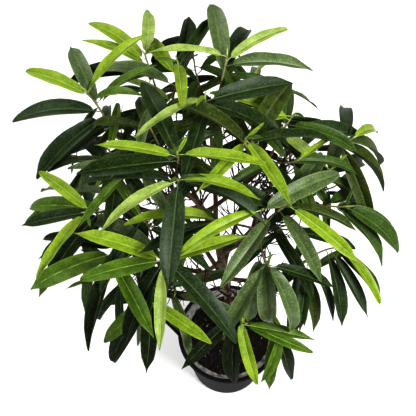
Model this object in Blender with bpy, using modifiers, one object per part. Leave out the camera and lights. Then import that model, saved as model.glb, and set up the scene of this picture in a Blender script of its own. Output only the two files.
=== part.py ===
"""Potted alii ficus: a nursery pot full of soil, a trunk, its boughs and the foliage on each bough.

Metres and degrees, +Z up. The origin is the middle of the pot's flat underside. +Y is the back.
Every limb ends 0.3 mm clear of what carries it. Each mass of foliage is one closed solid: a stem,
its twigs, and leaves whose roots are sunk in the twigs.
"""
import math
import random

import bmesh
import bpy
import numpy as np
from mathutils.bvhtree import BVHTree

NAME = "potted_alii_ficus"
CLEAR = 0.0003
SEED = 5

# The pot and its soil
POT_HEIGHT = 0.235
RIM_RADIUS = 0.125
FOOT_RADIUS = 0.095
WALL = 0.0025
LIP_HEIGHT = 0.014
LIP_WIDTH = 0.0065
FLOOR = 0.003
ROUNDING = 0.003
SOIL_DROP = 0.022
SOIL_TOP = POT_HEIGHT - SOIL_DROP
POT_STEPS = 48
DRAIN_HOLES = 6
DRAIN_RADIUS = 0.005
DRAIN_CIRCLE = 0.072
DRAIN_SIDES = 12

# The trunk, from its flat cut on the soil up to the fork
TRUNK_FOOT = (0.0, 0.0, SOIL_TOP + CLEAR)
TRUNK_TIP = (-0.040, 0.030, 0.775)
TRUNK_RADIUS = 0.0105
TRUNK_TIP_RADIUS = 0.0065
FLARE = 0.75
FLARE_HEIGHT = 0.035
TRUNK_POINTS = 12
TRUNK_SIDES = 3

# The crown: a round head of leaves, open low in front where the soil shows
CROWN_CENTRE = np.array((-0.060, 0.035, 0.870))
CROWN_REACH = np.array((0.330, 0.330, 0.290))
CROWN_CORE = np.array((-0.030, 0.020, 0.720))
OPENING_FOOT = np.array((0.0, 0.0, POT_HEIGHT))
OPENING_HEAD = np.array((-0.020, -0.200, 0.840))
OPENING_RADIUS = (RIM_RADIUS, 0.075)
SHOWN_SIDE = np.array((0.03, -0.47, 0.88))
UP = np.array((0.0, 0.0, 1.0))

# Boughs: what each grows from, how far along that, its tip, and the radius at its base
BOUGHS = {
    "top_left": ("trunk", 0.99, (-0.092, 0.020, 0.930), 0.0060),
    "back_left": ("trunk", 0.93, (-0.110, 0.120, 0.900), 0.0050),
    "back": ("trunk", 0.97, (-0.045, 0.110, 0.930), 0.0048),
    "left_back": ("trunk", 0.84, (-0.165, 0.095, 0.860), 0.0052),
    "right_front": ("trunk", 0.88, (0.020, -0.040, 0.880), 0.0050),
    "right": ("trunk", 0.80, (0.090, 0.030, 0.830), 0.0056),
    "right_low": ("trunk", 0.62, (0.070, -0.060, 0.740), 0.0048),
    "front_low": ("trunk", 0.52, (-0.010, -0.085, 0.730), 0.0046),
    "left_low": ("trunk", 0.66, (-0.160, -0.030, 0.745), 0.0050),
    "back_low_left": ("trunk", 0.60, (-0.130, 0.140, 0.745), 0.0050),
    "back_low_right": ("trunk", 0.70, (0.030, 0.150, 0.760), 0.0050),
    "left_front_low": ("trunk", 0.74, (-0.115, -0.090, 0.775), 0.0046),
    "upper_right": ("top_left", 0.30, (0.030, 0.050, 0.915), 0.0042),
    "left": ("top_left", 0.45, (-0.165, -0.005, 0.890), 0.0042),
    "front_left": ("left", 0.35, (-0.120, -0.070, 0.870), 0.0036),
    "right_back": ("right", 0.45, (0.080, 0.105, 0.860), 0.0042),
}
BOUGH_TIP_RADIUS = 0.0028
BOUGH_POINTS = 6
BOUGH_SIDES = 1
BOUGH_PULL = 0.9
BOUGH_LIFT = 0.35
FORK = 0.98

# Shoots that show: foliage, tip of the shoot, extra lift of its leaves, and the headings of its
# old, half-grown and young leaves, anticlockwise from +X
SHOOTS = (
    ("back_left", (-0.155, 0.225, 1.005), 5, (172, 60), (), (155, 140, 92)),
    ("back_left", (-0.100, 0.200, 1.020), 5, (165, 86, 120), (), (78, 60, 275)),
    ("back", (-0.020, 0.200, 1.035), 3, (97, 70, 5), (), (33, 186)),
    ("back", (-0.055, 0.105, 1.050), 0, (255, 305, 20), (), (208,)),
    ("left_back", (-0.250, 0.165, 0.985), 14, (180, 112), (20, 335), (152, 38)),
    ("left_back", (-0.225, 0.140, 0.955), -8, (155, 165, 200, 213, 228), (), ()),
    ("top_left", (-0.095, 0.000, 1.055), 0, (183, 115), (), (168, 345)),
    ("top_left", (-0.094, -0.038, 1.046), 0, (175, 335, 265), (), (217, 340)),
    ("upper_right", (0.005, 0.030, 1.050), 0, (60, 150), (15,), (237, 298)),
    ("upper_right", (0.086, 0.115, 0.990), 0, (98, 12), (82, 350), (172, 186)),
    ("left", (-0.240, -0.040, 0.950), 3, (165, 205, 225), (180,), (140, 238)),
    ("left", (-0.200, -0.110, 0.920), 0, (165, 187, 250), (300,), ()),
    ("front_left", (-0.115, -0.135, 0.975), 0, (145, 225, 315), (190,), (165, 268, 15)),
    ("front_left", (-0.145, -0.160, 0.880), -5, (262, 230), (215,), (325,)),
    ("right_front", (-0.035, -0.075, 0.990), 0, (), (185,), (205,)),
    ("right_front", (0.028, -0.070, 1.015), 0, (20,), (150,), (204,)),
    ("right_front", (0.074, -0.050, 0.998), 0, (222, 55), (305, 170, 350), (325, 100)),
    ("right_front", (0.040, -0.130, 0.950), -30, (255, 285, 305), (232,), (355,)),
    ("right_back", (0.188, 0.098, 0.950), -22, (345, 300, 10), (85,), (45,)),
    ("right", (0.150, 0.050, 0.930), -10, (350, 40, 70), (), (140,)),
    ("right", (0.175, 0.000, 0.895), 0, (35, 15, 322, 355, 340), (), ()),
    ("right_low", (0.165, -0.064, 0.870), 0, (285, 305, 325), (), (308,)),
    ("right_low", (0.120, -0.083, 0.852), -12, (290, 262), (215,), (262, 300)),
    ("front_low", (0.005, -0.178, 0.817), -3, (268, 220), (), (288, 350, 5)),
    ("front_low", (0.073, -0.175, 0.790), -18, (300,), (262, 240), ()),
)

# Further shoots, grown by a seeded rule wherever the crown has room
MORE_SHOOTS = 34
SHOOT_SPACE = 0.076
MORE_REACH = (0.50, 0.74)
OUTER_REACH = 0.62
OPENING_SPACE = 0.03
GOLDEN_ANGLE = 137.5
LEAVES = (6, 7, 7, 8)
YOUNG_SHARE = 0.45
MID_SHARE = 0.50
SHOWN_SHARE = 0.55
AHEAD = 0.035
AHEAD_SHARE = 0.6
FAR = 10.0
SHOOT_LIFT = 0.55

# Leaves by age: length range, width as a share of length, droop, bend along the leaf
LENGTH = {"old": (0.145, 0.170), "mid": (0.125, 0.150), "young": (0.120, 0.150)}
WIDTH = {"old": 0.180, "mid": 0.170, "young": 0.150}
DROOP = {"old": 9, "mid": 5, "young": -4}
BEND = {"old": 35, "mid": 25, "young": 15}
FOLLOW = 0.33
SPREAD = 7
TWIST = 25
STEEPEST = -72
VIGOUR = ((0.75, 0.95), (0.84, 1.0))
LEAF_TURN = 9
LEAF_STEP = 0.008
LAST_LEAF = 0.002
FIRST_LEAF = 0.3
LEAF_THICK = 0.0024
LEAF_FOLD = 0.28
ROOT_DEPTH = 0.0012
ROOT_WIDTH = 0.0028
WIDEST = 0.48
BALL_RINGS = 2
TRIES = 10

# Stems and twigs
STEM_RADIUS = 0.0034
STEM_SHARE = 0.30
STEM_PULL = 0.6
TWIG_RADIUS = 0.0030
TWIG_TIP_RADIUS = 0.0024
TWIG_ROOT = 0.0015
TWIG_PULL = 0.8
TWIG_SWING = 0.25
TWIG_POINTS = 4

BARK = (0.160, 0.105, 0.070)
LEAF = (0.045, 0.085, 0.035)
PLASTIC = (0.012, 0.012, 0.013)
SOIL = (0.045, 0.028, 0.018)


def clear_scene():
    """Remove every object, so that the script can be run again."""
    for item in list(bpy.data.objects):
        bpy.data.objects.remove(item, do_unlink=True)


def new_collection(name):
    """A collection in the scene."""
    group = bpy.data.collections.new(name)
    bpy.context.scene.collection.children.link(group)
    return group


def paint(item, colour, roughness):
    """Give an object its own Principled material."""
    material = bpy.data.materials.new(item.name)
    material.use_nodes = True
    shader = material.node_tree.nodes["Principled BSDF"]
    shader.inputs["Base Color"].default_value = (*colour, 1.0)
    shader.inputs["Roughness"].default_value = roughness
    shader.inputs["Metallic"].default_value = 0.0
    item.data.materials.clear()
    item.data.materials.append(material)


def mesh_object(name, mesh, group):
    """An object for a mesh, in a collection."""
    item = bpy.data.objects.new(name, mesh)
    group.objects.link(item)
    return item


def hide_cutter(item):
    """A cutter shows as wire and isn't part of the plant."""
    item.hide_render = True
    item.display_type = "WIRE"


def turned(name, profile, group):
    """Turn a profile at +X, given top to bottom on its outer side, round the Z axis."""
    mesh = bpy.data.meshes.new(name)
    points = [(x, 0.0, z) for x, z in profile]
    mesh.from_pydata(points, [(i, i + 1) for i in range(len(points) - 1)], [])
    item = mesh_object(name, mesh, group)
    screw = item.modifiers.new("turn", "SCREW")
    screw.steps = screw.render_steps = POT_STEPS
    screw.use_merge_vertices = True
    screw.merge_threshold = 0.00001
    return item


def wall_radius(height):
    """Outer radius of the pot's wall: a straight taper from the foot to the lip."""
    return FOOT_RADIUS + (RIM_RADIUS - LIP_WIDTH - FOOT_RADIUS) * height / POT_HEIGHT


def make_pot(group, cutters):
    """A tapered pot with a rolled lip and drain holes near the edge of its floor."""
    lip_foot = POT_HEIGHT - LIP_HEIGHT
    inner_top = wall_radius(POT_HEIGHT) - WALL
    shoulder = POT_HEIGHT - ROUNDING
    profile = [(0.0, FLOOR), (wall_radius(FLOOR) - WALL, FLOOR), (inner_top, shoulder)]
    middle = (inner_top + RIM_RADIUS) / 2
    half = (RIM_RADIUS - inner_top) / 2
    for turn in (135, 90, 45):
        angle = math.radians(turn)
        profile.append((middle + half * math.cos(angle), shoulder + ROUNDING * math.sin(angle)))
    profile += [(RIM_RADIUS, shoulder), (RIM_RADIUS, lip_foot), (wall_radius(lip_foot), lip_foot),
                (FOOT_RADIUS, ROUNDING), (FOOT_RADIUS - ROUNDING, 0.0), (0.0, 0.0)]
    pot = turned("pot", profile, group)
    for i in range(DRAIN_HOLES):
        angle = 2 * math.pi * (i + 0.5) / DRAIN_HOLES
        place = (DRAIN_CIRCLE * math.cos(angle), DRAIN_CIRCLE * math.sin(angle), FLOOR / 2)
        bpy.ops.mesh.primitive_cylinder_add(vertices=DRAIN_SIDES, radius=DRAIN_RADIUS,
                                            depth=4 * FLOOR, location=place)
        drill = bpy.context.object
        drill.name = f"drain_cutter_{i}"
        for owner in list(drill.users_collection):
            owner.objects.unlink(drill)
        cutters.objects.link(drill)
        hide_cutter(drill)
        cut = pot.modifiers.new(f"drain_{i}", "BOOLEAN")
        cut.operation = "DIFFERENCE"
        cut.object = drill
    paint(pot, PLASTIC, 0.45)
    return pot


def make_soil(group):
    """The soil fills the pot to SOIL_DROP under its rim, clear of wall and floor."""
    low = FLOOR + CLEAR
    top_radius = wall_radius(SOIL_TOP) - WALL - 2 * CLEAR
    low_radius = wall_radius(low) - WALL - 2 * CLEAR
    soil = turned("soil", [(0.0, SOIL_TOP), (top_radius, SOIL_TOP), (low_radius, low), (0.0, low)], group)
    paint(soil, SOIL, 0.95)
    return soil


def arc(start, start_way, end, end_way, count):
    """Points of a cubic curve from start to end that leaves and arrives along the given ways."""
    start, end = np.asarray(start, float), np.asarray(end, float)
    t = np.linspace(0.0, 1.0, count)[:, None]
    reach = np.linalg.norm(end - start)
    first = np.asarray(start_way, float) * reach
    last = np.asarray(end_way, float) * reach
    return ((2 * t**3 - 3 * t**2 + 1) * start + (t**3 - 2 * t**2 + t) * first
            + (3 * t**2 - 2 * t**3) * end + (t**3 - t**2) * last)


def unit(vector):
    """The vector at length one."""
    vector = np.asarray(vector, float)
    return vector / np.linalg.norm(vector)


def trunk_line():
    """The trunk's line and radii: upright at the soil, a slight bow, and a flare at its foot."""
    line = arc(TRUNK_FOOT, (0.05, -0.04, 1.0), TRUNK_TIP, (-0.10, 0.10, 0.95), TRUNK_POINTS)
    line[1, :2] = line[0, :2]
    share = np.linspace(0.0, 1.0, len(line))
    radii = TRUNK_RADIUS + (TRUNK_TIP_RADIUS - TRUNK_RADIUS) * share
    rise = (line[:, 2] - line[0, 2]) / FLARE_HEIGHT
    return line, radii * (1 + FLARE * np.exp(-rise**2))


def along(line, share):
    """The point at a share of the way along a line, and the line's way there."""
    place = share * (len(line) - 1)
    low = min(int(place), len(line) - 2)
    step = line[low + 1] - line[low]
    return line[low] + step * (place - low), unit(step)


def bough_lines():
    """Each bough's line, leaving its parent sideways and rising to its tip, with its radii."""
    lines = {"trunk": trunk_line()}
    for name, (parent, share, tip, radius) in BOUGHS.items():
        foot, parent_way = along(lines[parent][0], share)
        way = unit(np.array(tip) - foot)
        side = unit(way - parent_way * (way @ parent_way))
        leave = unit(1.5 * side + parent_way) if share < FORK else unit(way + parent_way)
        arrive = unit(way + BOUGH_LIFT * UP)
        line = arc(foot, BOUGH_PULL * leave, tip, BOUGH_PULL * arrive, BOUGH_POINTS)
        taper = np.linspace(0.0, 1.0, BOUGH_POINTS)
        lines[name] = (line, radius + (BOUGH_TIP_RADIUS - radius) * taper)
    return lines


def limb(name, line, radii, sides, group):
    """A tapered tube along a line, made a mesh with its caps welded."""
    curve = bpy.data.curves.new(name, "CURVE")
    curve.dimensions = "3D"
    curve.bevel_depth = 1.0
    curve.bevel_resolution = sides
    curve.use_fill_caps = True
    spline = curve.splines.new("POLY")
    spline.points.add(len(line) - 1)
    for point, place, radius in zip(spline.points, line, radii):
        point.co = (*place, 1.0)
        point.radius = radius
    wire = bpy.data.objects.new(name, curve)
    group.objects.link(wire)
    graph = bpy.context.evaluated_depsgraph_get()
    mesh = bpy.data.meshes.new_from_object(wire.evaluated_get(graph))
    bpy.data.objects.remove(wire, do_unlink=True)
    bpy.data.curves.remove(curve)
    shape = bmesh.new()
    shape.from_mesh(mesh)
    bmesh.ops.remove_doubles(shape, verts=shape.verts, dist=0.00001)
    bmesh.ops.recalc_face_normals(shape, faces=shape.faces)
    shape.to_mesh(mesh)
    shape.free()
    mesh.shade_smooth()
    mesh.set_sharp_from_angle(angle=math.radians(50))
    return mesh_object(name, mesh, group)


def settle(item):
    """Apply an object's modifiers to its mesh."""
    graph = bpy.context.evaluated_depsgraph_get()
    mesh = bpy.data.meshes.new_from_object(item.evaluated_get(graph))
    item.modifiers.clear()
    item.data = mesh


def limb_sides(name):
    """The bevel resolution of a limb: eight sides on the trunk, four on a bough."""
    return TRUNK_SIDES if name == "trunk" else BOUGH_SIDES


def make_limbs(group, cutters):
    """The trunk and boughs; each bough is cut clear of the limb that it grows from."""
    lines = bough_lines()
    limbs = {}
    for name, (line, radii) in lines.items():
        item = limb(name if name == "trunk" else f"bough_{name}", line, radii, limb_sides(name), group)
        if name != "trunk":
            parent = BOUGHS[name][0]
            parent_line, parent_radii = lines[parent]
            longer = parent_line.copy()
            longer[-1] += CLEAR * unit(longer[-1] - longer[-2])
            sleeve = limb(f"sleeve_{name}", longer, parent_radii + 2 * CLEAR, limb_sides(parent), cutters)
            hide_cutter(sleeve)
            cut = item.modifiers.new("clear_of_parent", "BOOLEAN")
            cut.operation = "DIFFERENCE"
            cut.object = sleeve
            settle(item)
            bpy.data.objects.remove(sleeve, do_unlink=True)
            keep_body(item)
        paint(item, BARK, 0.85)
        limbs[name] = item
    return lines, limbs


def keep_body(item):
    """Keep the one outer body of a mesh and return the middles of its open or crowded edges.

    Loose scraps are dropped, and a sealed hollow is filled by dropping its skin.
    """
    shape = bmesh.new()
    shape.from_mesh(item.data)
    bmesh.ops.triangulate(shape, faces=shape.faces)
    bodies = []
    left = set(shape.faces)
    while left:
        stack = [left.pop()]
        body = list(stack)
        while stack:
            for edge in stack.pop().edges:
                for face in edge.link_faces:
                    if face in left:
                        left.remove(face)
                        body.append(face)
                        stack.append(face)
        bodies.append(body)
    main = max(bodies, key=span)
    scraps = [face for body in bodies if body is not main for face in body]
    bmesh.ops.delete(shape, geom=scraps, context="FACES")
    flaws = [(edge.verts[0].co + edge.verts[1].co) / 2 for edge in shape.edges if len(edge.link_faces) != 2]
    shape.to_mesh(item.data)
    shape.free()
    return flaws


def span(body):
    """The diagonal of a set of faces."""
    places = np.array([vert.co[:] for face in body for vert in face.verts])
    return float(np.linalg.norm(places.max(axis=0) - places.min(axis=0)))


def ball():
    """Vertices and faces of a four-sided ball with two rings, which is reshaped into leaves.

    Each four-sided face is split from its lower corner on the blade's edge to its upper corner on
    the midrib, so that the upper and lower side of the thin blade never cross.
    """
    shape = bmesh.new()
    bmesh.ops.create_uvsphere(shape, u_segments=4, v_segments=BALL_RINGS + 1, radius=1.0)
    for face in [face for face in shape.faces if len(face.verts) == 4]:
        on_edge = [vert for vert in face.verts if abs(vert.co.x) > abs(vert.co.y)]
        on_rib = [vert for vert in face.verts if vert not in on_edge]
        lower = min(on_edge, key=lambda vert: vert.co.z)
        upper = max(on_rib, key=lambda vert: vert.co.z)
        bmesh.utils.face_split(face, lower, upper)
    places = np.array([vert.co[:] for vert in shape.verts])
    faces = [[vert.index for vert in face.verts] for face in shape.faces]
    shape.free()
    return places, faces


def rod():
    """Vertices and faces of a three-sided rod with rings, which is bent into twigs."""
    shape = bmesh.new()
    bmesh.ops.create_cone(shape, cap_ends=True, segments=3, radius1=1.0, radius2=1.0, depth=1.0)
    for i in range(1, TWIG_POINTS - 1):
        plane = (0.0, 0.0, i / (TWIG_POINTS - 1) - 0.5)
        geometry = shape.verts[:] + shape.edges[:] + shape.faces[:]
        bmesh.ops.bisect_plane(shape, geom=geometry, plane_co=plane, plane_no=(0.0, 0.0, 1.0))
    shape.verts.index_update()
    places = np.array([vert.co[:] for vert in shape.verts])
    faces = [[vert.index for vert in face.verts] for face in shape.faces]
    shape.free()
    return places, faces


def midrib(leaf, t):
    """Points, ways, sides and normals of a leaf's midrib: a circular arc that bends down as it goes out."""
    bend = math.radians(leaf["bend"])
    first = math.radians(leaf["rise"]) + bend / 2
    lift = first - bend * t
    heading = math.radians(leaf["heading"])
    ahead = np.array((math.cos(heading), math.sin(heading), 0.0))
    out = leaf["length"] / bend * (math.sin(first) - np.sin(lift))
    up = leaf["length"] / bend * (np.cos(lift) - math.cos(first))
    points = leaf["base"] + out[:, None] * ahead + up[:, None] * UP
    ways = np.cos(lift)[:, None] * ahead + np.sin(lift)[:, None] * UP
    level = np.array((-math.sin(heading), math.cos(heading), 0.0))
    above = np.cross(ways, level)
    roll = math.radians(leaf["roll"])
    sides = level * math.cos(roll) + above * math.sin(roll)
    return points, ways, sides, np.cross(ways, sides)


def leaf_shape(leaf, grow=0.0):
    """The ball reshaped into a leaf: root in the twig, blade folded along its midrib, pointed tip."""
    length = leaf["length"]
    half = WIDTH[leaf["age"]] * length / 2
    stations = np.array((-ROOT_DEPTH / length, ROOT_DEPTH / length, WIDEST, 1.0))
    halves = np.array((0.0, ROOT_WIDTH / 2, half, 0.0))
    points, _, sides, normals = midrib(leaf, stations)
    poles = BALL_RINGS + 1
    ring = np.rint((1 - np.arccos(np.clip(BALL[:, 2], -1, 1)) / math.pi) * poles).astype(int)
    girth = np.hypot(BALL[:, 0], BALL[:, 1])
    flat = np.where((ring % poles > 0)[:, None], BALL[:, :2] / np.maximum(girth, CLEAR)[:, None], 0.0)
    across, over = flat.T
    width = (halves[ring] + grow) * across
    fold = LEAF_FOLD * halves[ring] * np.abs(across) * (ring > 1)
    height = over * (LEAF_THICK / 2 + grow) + fold
    return points[ring] + width[:, None] * sides[ring] + height[:, None] * normals[ring]


def twig_shape(line, radii, grow=0.0):
    """The rod bent along a line of TWIG_POINTS points and tapered."""
    ring = np.rint((ROD[:, 2] + 0.5) * (TWIG_POINTS - 1)).astype(int)
    ways = np.gradient(line, axis=0)
    ways /= np.linalg.norm(ways, axis=1)[:, None]
    upright = abs(ways[0, 2]) > 0.8
    sides = np.cross(ways, (1.0, 0.3, 0.1) if upright else (0.3, 0.2, 1.0))
    sides /= np.linalg.norm(sides, axis=1)[:, None]
    others = np.cross(ways, sides)
    size = (np.asarray(radii) + grow)[ring][:, None]
    return line[ring] + size * (ROD[:, :1] * sides[ring] + ROD[:, 1:2] * others[ring])


def in_opening(point, grow=0.0):
    """Whether a point lies in the slanted opening low in front."""
    share = (point[2] - OPENING_FOOT[2]) / (OPENING_HEAD[2] - OPENING_FOOT[2])
    if share < 0:
        return False
    middle = OPENING_FOOT + (OPENING_HEAD - OPENING_FOOT) * share
    low, high = OPENING_RADIUS
    radius = low + (high - low) * min(share, 1.3) + grow
    return math.hypot(point[0] - middle[0], point[1] - middle[1]) < radius


def listed_shoots():
    """The shoots of the SHOOTS table: foliage, tip, lift and its leaves as (age, heading)."""
    rows = []
    for foliage, tip, lift, old, mid, young in SHOOTS:
        leaves = [("old", h) for h in old] + [("mid", h) for h in mid] + [("young", h) for h in young]
        rows.append((foliage, np.array(tip), lift, leaves))
    return rows


def further_shoots():
    """Shoots thrown at random into the crown, each kept where it has room, on the nearest bough."""
    rng = random.Random(SEED)
    tips = [np.array(row[1]) for row in SHOOTS]
    rows = []
    while len(rows) < MORE_SHOOTS:
        way = unit([rng.gauss(0, 1) for _ in range(3)])
        share = rng.uniform(*MORE_REACH)
        tip = CROWN_CENTRE + way * share * CROWN_REACH
        crowded = min(np.linalg.norm(other - tip) for other in tips) < SHOOT_SPACE
        foliage = min(BOUGHS, key=lambda name: bough_distance(name, tip))
        shown = way @ SHOWN_SIDE > 0.1 and (share > OUTER_REACH or rng.random() < SHOWN_SHARE)
        if crowded or shown or in_opening(tip, OPENING_SPACE) or bough_distance(foliage, tip) > FAR:
            continue
        tips.append(tip)
        ages = ["old"] * rng.choice(LEAVES)
        first = rng.uniform(0, 360)
        if rng.random() < YOUNG_SHARE:
            ages[-1] = "young"
        if rng.random() < MID_SHARE:
            ages[-2] = "mid"
        leaves = [(age, (first + GOLDEN_ANGLE * i) % 360) for i, age in enumerate(ages)]
        rows.append((foliage, tip, 0, leaves))
    return rows


def bough_distance(name, tip):
    """How far a shoot's tip is from a bough's tip, and FAR more where it isn't well ahead of it."""
    bough_tip = np.array(BOUGHS[name][2])
    reach = float(np.linalg.norm(tip - bough_tip))
    ahead = (tip - bough_tip) @ unit(bough_tip - CROWN_CORE)
    return reach + FAR * bool(ahead < AHEAD_SHARE * reach or ahead < AHEAD)


def shoot_way(tip):
    """A shoot points out of the crown and up."""
    return unit(unit(tip - CROWN_CENTRE) + SHOOT_LIFT * UP)


def new_leaf(tip, base, lift, age, heading, rng):
    """A leaf that lies over the crown's round: it falls where it heads out and rises where it heads in."""
    out = tip - CROWN_CENTRE
    side = math.degrees(math.atan2(out[1], out[0]))
    height = math.degrees(math.atan2(out[2], math.hypot(out[0], out[1])))
    rise = -FOLLOW * (90 - height) * math.cos(math.radians(heading - side)) - DROOP[age]
    return {"base": base, "heading": heading, "age": age,
            "length": rng.uniform(*LENGTH[age]) * np.interp(tip[2], *VIGOUR),
            "rise": max(rise + rng.uniform(-SPREAD, SPREAD), STEEPEST) + lift,
            "bend": BEND[age] * rng.uniform(0.6, 1.3),
            "roll": rng.uniform(-TWIST, TWIST)}


class Room:
    """What already stands in the crown, to test new pieces against."""

    def __init__(self):
        self.taken = []

    def add(self, owner, places, faces):
        """Take the space of a piece for its owner."""
        tree = BVHTree.FromPolygons(places.tolist(), faces)
        self.taken.append((owner, places.min(axis=0), places.max(axis=0), tree))

    def free(self, mine, places, faces):
        """Whether a piece crosses nothing, apart from the owners named in mine."""
        low, high = places.min(axis=0), places.max(axis=0)
        tree = None
        for owner, other_low, other_high, other_tree in self.taken:
            if (low > other_high).any() or (high < other_low).any() or owner.startswith(mine):
                continue
            tree = tree or BVHTree.FromPolygons(places.tolist(), faces)
            if tree.overlap(other_tree):
                return False
        return True


def grow_stems(lines, rows, room):
    """Each foliage's stem, straight on from its bough's tip and then towards the middle of its shoots."""
    stems = {}
    for name in BOUGHS:
        tips = [row[1] for row in rows if row[0] == name]
        line = lines[name][0]
        way = unit(line[-1] - line[-2])
        start = line[-1] + way * CLEAR
        middle = np.mean(tips, axis=0)
        reach = STEM_SHARE * np.linalg.norm(middle - start)
        arrive = STEM_PULL * unit(middle - start)
        stem = arc(start, STEM_PULL * way, start + reach * unit(way + arrive), arrive, TWIG_POINTS)
        stem[1] = start + way * np.linalg.norm(stem[1] - start)
        stems[name] = stem
        room.add(f"{name} stem", twig_shape(stem, np.full(TWIG_POINTS, STEM_RADIUS), CLEAR), ROD_FACES)
    return stems


def twig_trials(number, tip, stem):
    """A shoot's twig from its stem's end to its tip: first the straightest way, then wider swings."""
    rng = random.Random(f"{SEED} twig {number}")
    stem_way = unit(stem[-1] - stem[-2])
    start = stem[-1] - TWIG_ROOT * stem_way
    for trial in range(TRIES):
        swing = np.array([rng.uniform(-TWIG_SWING, TWIG_SWING) for _ in range(3)]) * min(trial, 4)
        leave = unit(unit(tip - start) + 0.5 * stem_way + swing)
        yield arc(start, TWIG_PULL * leave, tip, TWIG_PULL * shoot_way(tip), TWIG_POINTS)


def grow_twig(row, number, stem, room, pieces):
    """One shoot's twig, or None where something stands in each of its ways."""
    foliage, tip = row[:2]
    radii = np.linspace(TWIG_RADIUS, TWIG_TIP_RADIUS, TWIG_POINTS)
    for line in twig_trials(number, tip, stem):
        if room.free((f"{foliage} stem", f"{foliage} twig"), twig_shape(line, radii, 2 * CLEAR), ROD_FACES):
            pieces[foliage].append((twig_shape(line, radii), ROD_FACES))
            room.add(f"{foliage} twig {number}.", twig_shape(line, radii, CLEAR), ROD_FACES)
            return line
    return None


def leaf_trials(row, number, place, line):
    """One leaf of a shoot, the oldest lowest on its twig: first at its own heading, then turned aside."""
    _, tip, lift, leaves = row
    age, heading = leaves[place]
    rng = random.Random(f"{SEED} leaf {number} {place}")
    steps = np.linalg.norm(np.diff(line, axis=0), axis=1)
    walked = np.concatenate([[0.0], np.cumsum(steps)])
    rise = walked[-1] - LAST_LEAF - LEAF_STEP * (len(leaves) - 1 - place)
    rise = max(rise, FIRST_LEAF * walked[-1])
    base = np.array([np.interp(rise, walked, line[:, axis]) for axis in range(3)])
    for trial in range(TRIES):
        turn = rng.uniform(-LEAF_TURN, LEAF_TURN) * trial / 2
        yield new_leaf(tip, base, lift, age, heading + turn, rng)


def grow_leaves(row, number, line, room, pieces):
    """One shoot's leaves; a leaf that finds no room in any of its trials is skipped."""
    foliage = row[0]
    mine = (f"{foliage} twig {number}.", f"{foliage} leaf {number}.")
    grown = 0
    for place in range(len(row[3])):
        for leaf in leaf_trials(row, number, place, line):
            shape = leaf_shape(leaf, 2 * CLEAR)[BEYOND_ROOT]
            if room.free(mine, shape, LEAF_TEST_FACES):
                pieces[foliage].append((leaf_shape(leaf), BALL_FACES))
                room.add(mine[1], shape, LEAF_TEST_FACES)
                grown += 1
                break
    return grown


def join_foliage(name, stem, pieces, group):
    """One Boolean union joins a stem, its twigs and leaves; a leaf that won't join cleanly is left out."""
    body = None
    while True:
        if body:
            bpy.data.objects.remove(body, do_unlink=True)
        loose = bpy.data.collections.new(f"loose_{name}")
        radii = np.linspace(STEM_RADIUS, TWIG_RADIUS, TWIG_POINTS)
        body = mesh_object(f"foliage_{name}", closed_mesh(twig_shape(stem, radii), ROD_FACES), group)
        for i, (places, faces) in enumerate(pieces):
            loose.objects.link(bpy.data.objects.new(f"{name}_{i}", closed_mesh(places, faces)))
        join = body.modifiers.new("join", "BOOLEAN")
        join.operation = "UNION"
        join.operand_type = "COLLECTION"
        join.collection = loose
        join.solver = "EXACT"
        settle(body)
        for item in list(loose.objects):
            bpy.data.objects.remove(item, do_unlink=True)
        bpy.data.collections.remove(loose)
        flaws = keep_body(body)
        leaves = [i for i, (_, faces) in enumerate(pieces) if faces is BALL_FACES]
        if not flaws or not leaves:
            break
        flaw = np.array(flaws[0])
        worst = min(leaves, key=lambda i: np.linalg.norm(pieces[i][0] - flaw, axis=1).min())
        del pieces[worst]
    paint(body, LEAF, 0.5)
    return body


def closed_mesh(places, faces):
    """A mesh of the places and faces, with its faces pointing out."""
    mesh = bpy.data.meshes.new("piece")
    mesh.from_pydata(places.tolist(), [], faces)
    shape = bmesh.new()
    shape.from_mesh(mesh)
    bmesh.ops.recalc_face_normals(shape, faces=shape.faces)
    shape.to_mesh(mesh)
    shape.free()
    return mesh


def make_foliage(lines, limbs, group):
    """All masses of foliage: every stem, then every twig, then the leaves in the room that is left."""
    rows = listed_shoots() + further_shoots()
    room = Room()
    for item in limbs.values():
        places = np.array([vert.co[:] for vert in item.data.vertices])
        room.add("limbs", places, [list(face.vertices) for face in item.data.polygons])
    stems = grow_stems(lines, rows, room)
    pieces = {name: [] for name in BOUGHS}
    twigs = [grow_twig(row, i, stems[row[0]], room, pieces) for i, row in enumerate(rows)]
    grown = [grow_leaves(row, i, line, room, pieces)
             for i, (row, line) in enumerate(zip(rows, twigs)) if line is not None]
    for name in BOUGHS:
        body = join_foliage(name, stems[name], pieces[name], group)
        print(f"{body.name}: {len(pieces[name])} pieces, {len(body.data.polygons)} triangles")
    print(f"{sum(grown)} of {sum(len(row[3]) for row in rows)} leaves on {len(grown)} shoots")


def main():
    """Build the whole plant."""
    clear_scene()
    group = new_collection(NAME)
    cutters = new_collection("cutters")
    make_pot(group, cutters)
    make_soil(group)
    lines, limbs = make_limbs(group, cutters)
    make_foliage(lines, limbs, group)


BALL, BALL_FACES = ball()
ROD, ROD_FACES = rod()
BEYOND_ROOT = np.flatnonzero(BALL[:, 2] > -0.9)
LEAF_TEST_FACES = [[int(np.flatnonzero(BEYOND_ROOT == v)[0]) for v in face]
                   for face in BALL_FACES if all(v in BEYOND_ROOT for v in face)]
main()
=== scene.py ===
# %% [markdown]
# # A potted alii ficus
# The real plant is a young fig with long, strap-shaped leaves, in a black nursery pot. The packed
# model is the frame of this scene: its solids give every place and size, and nothing here moves
# them. The surfaces below are worked out with numpy and stand in for the plain solids.

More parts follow.
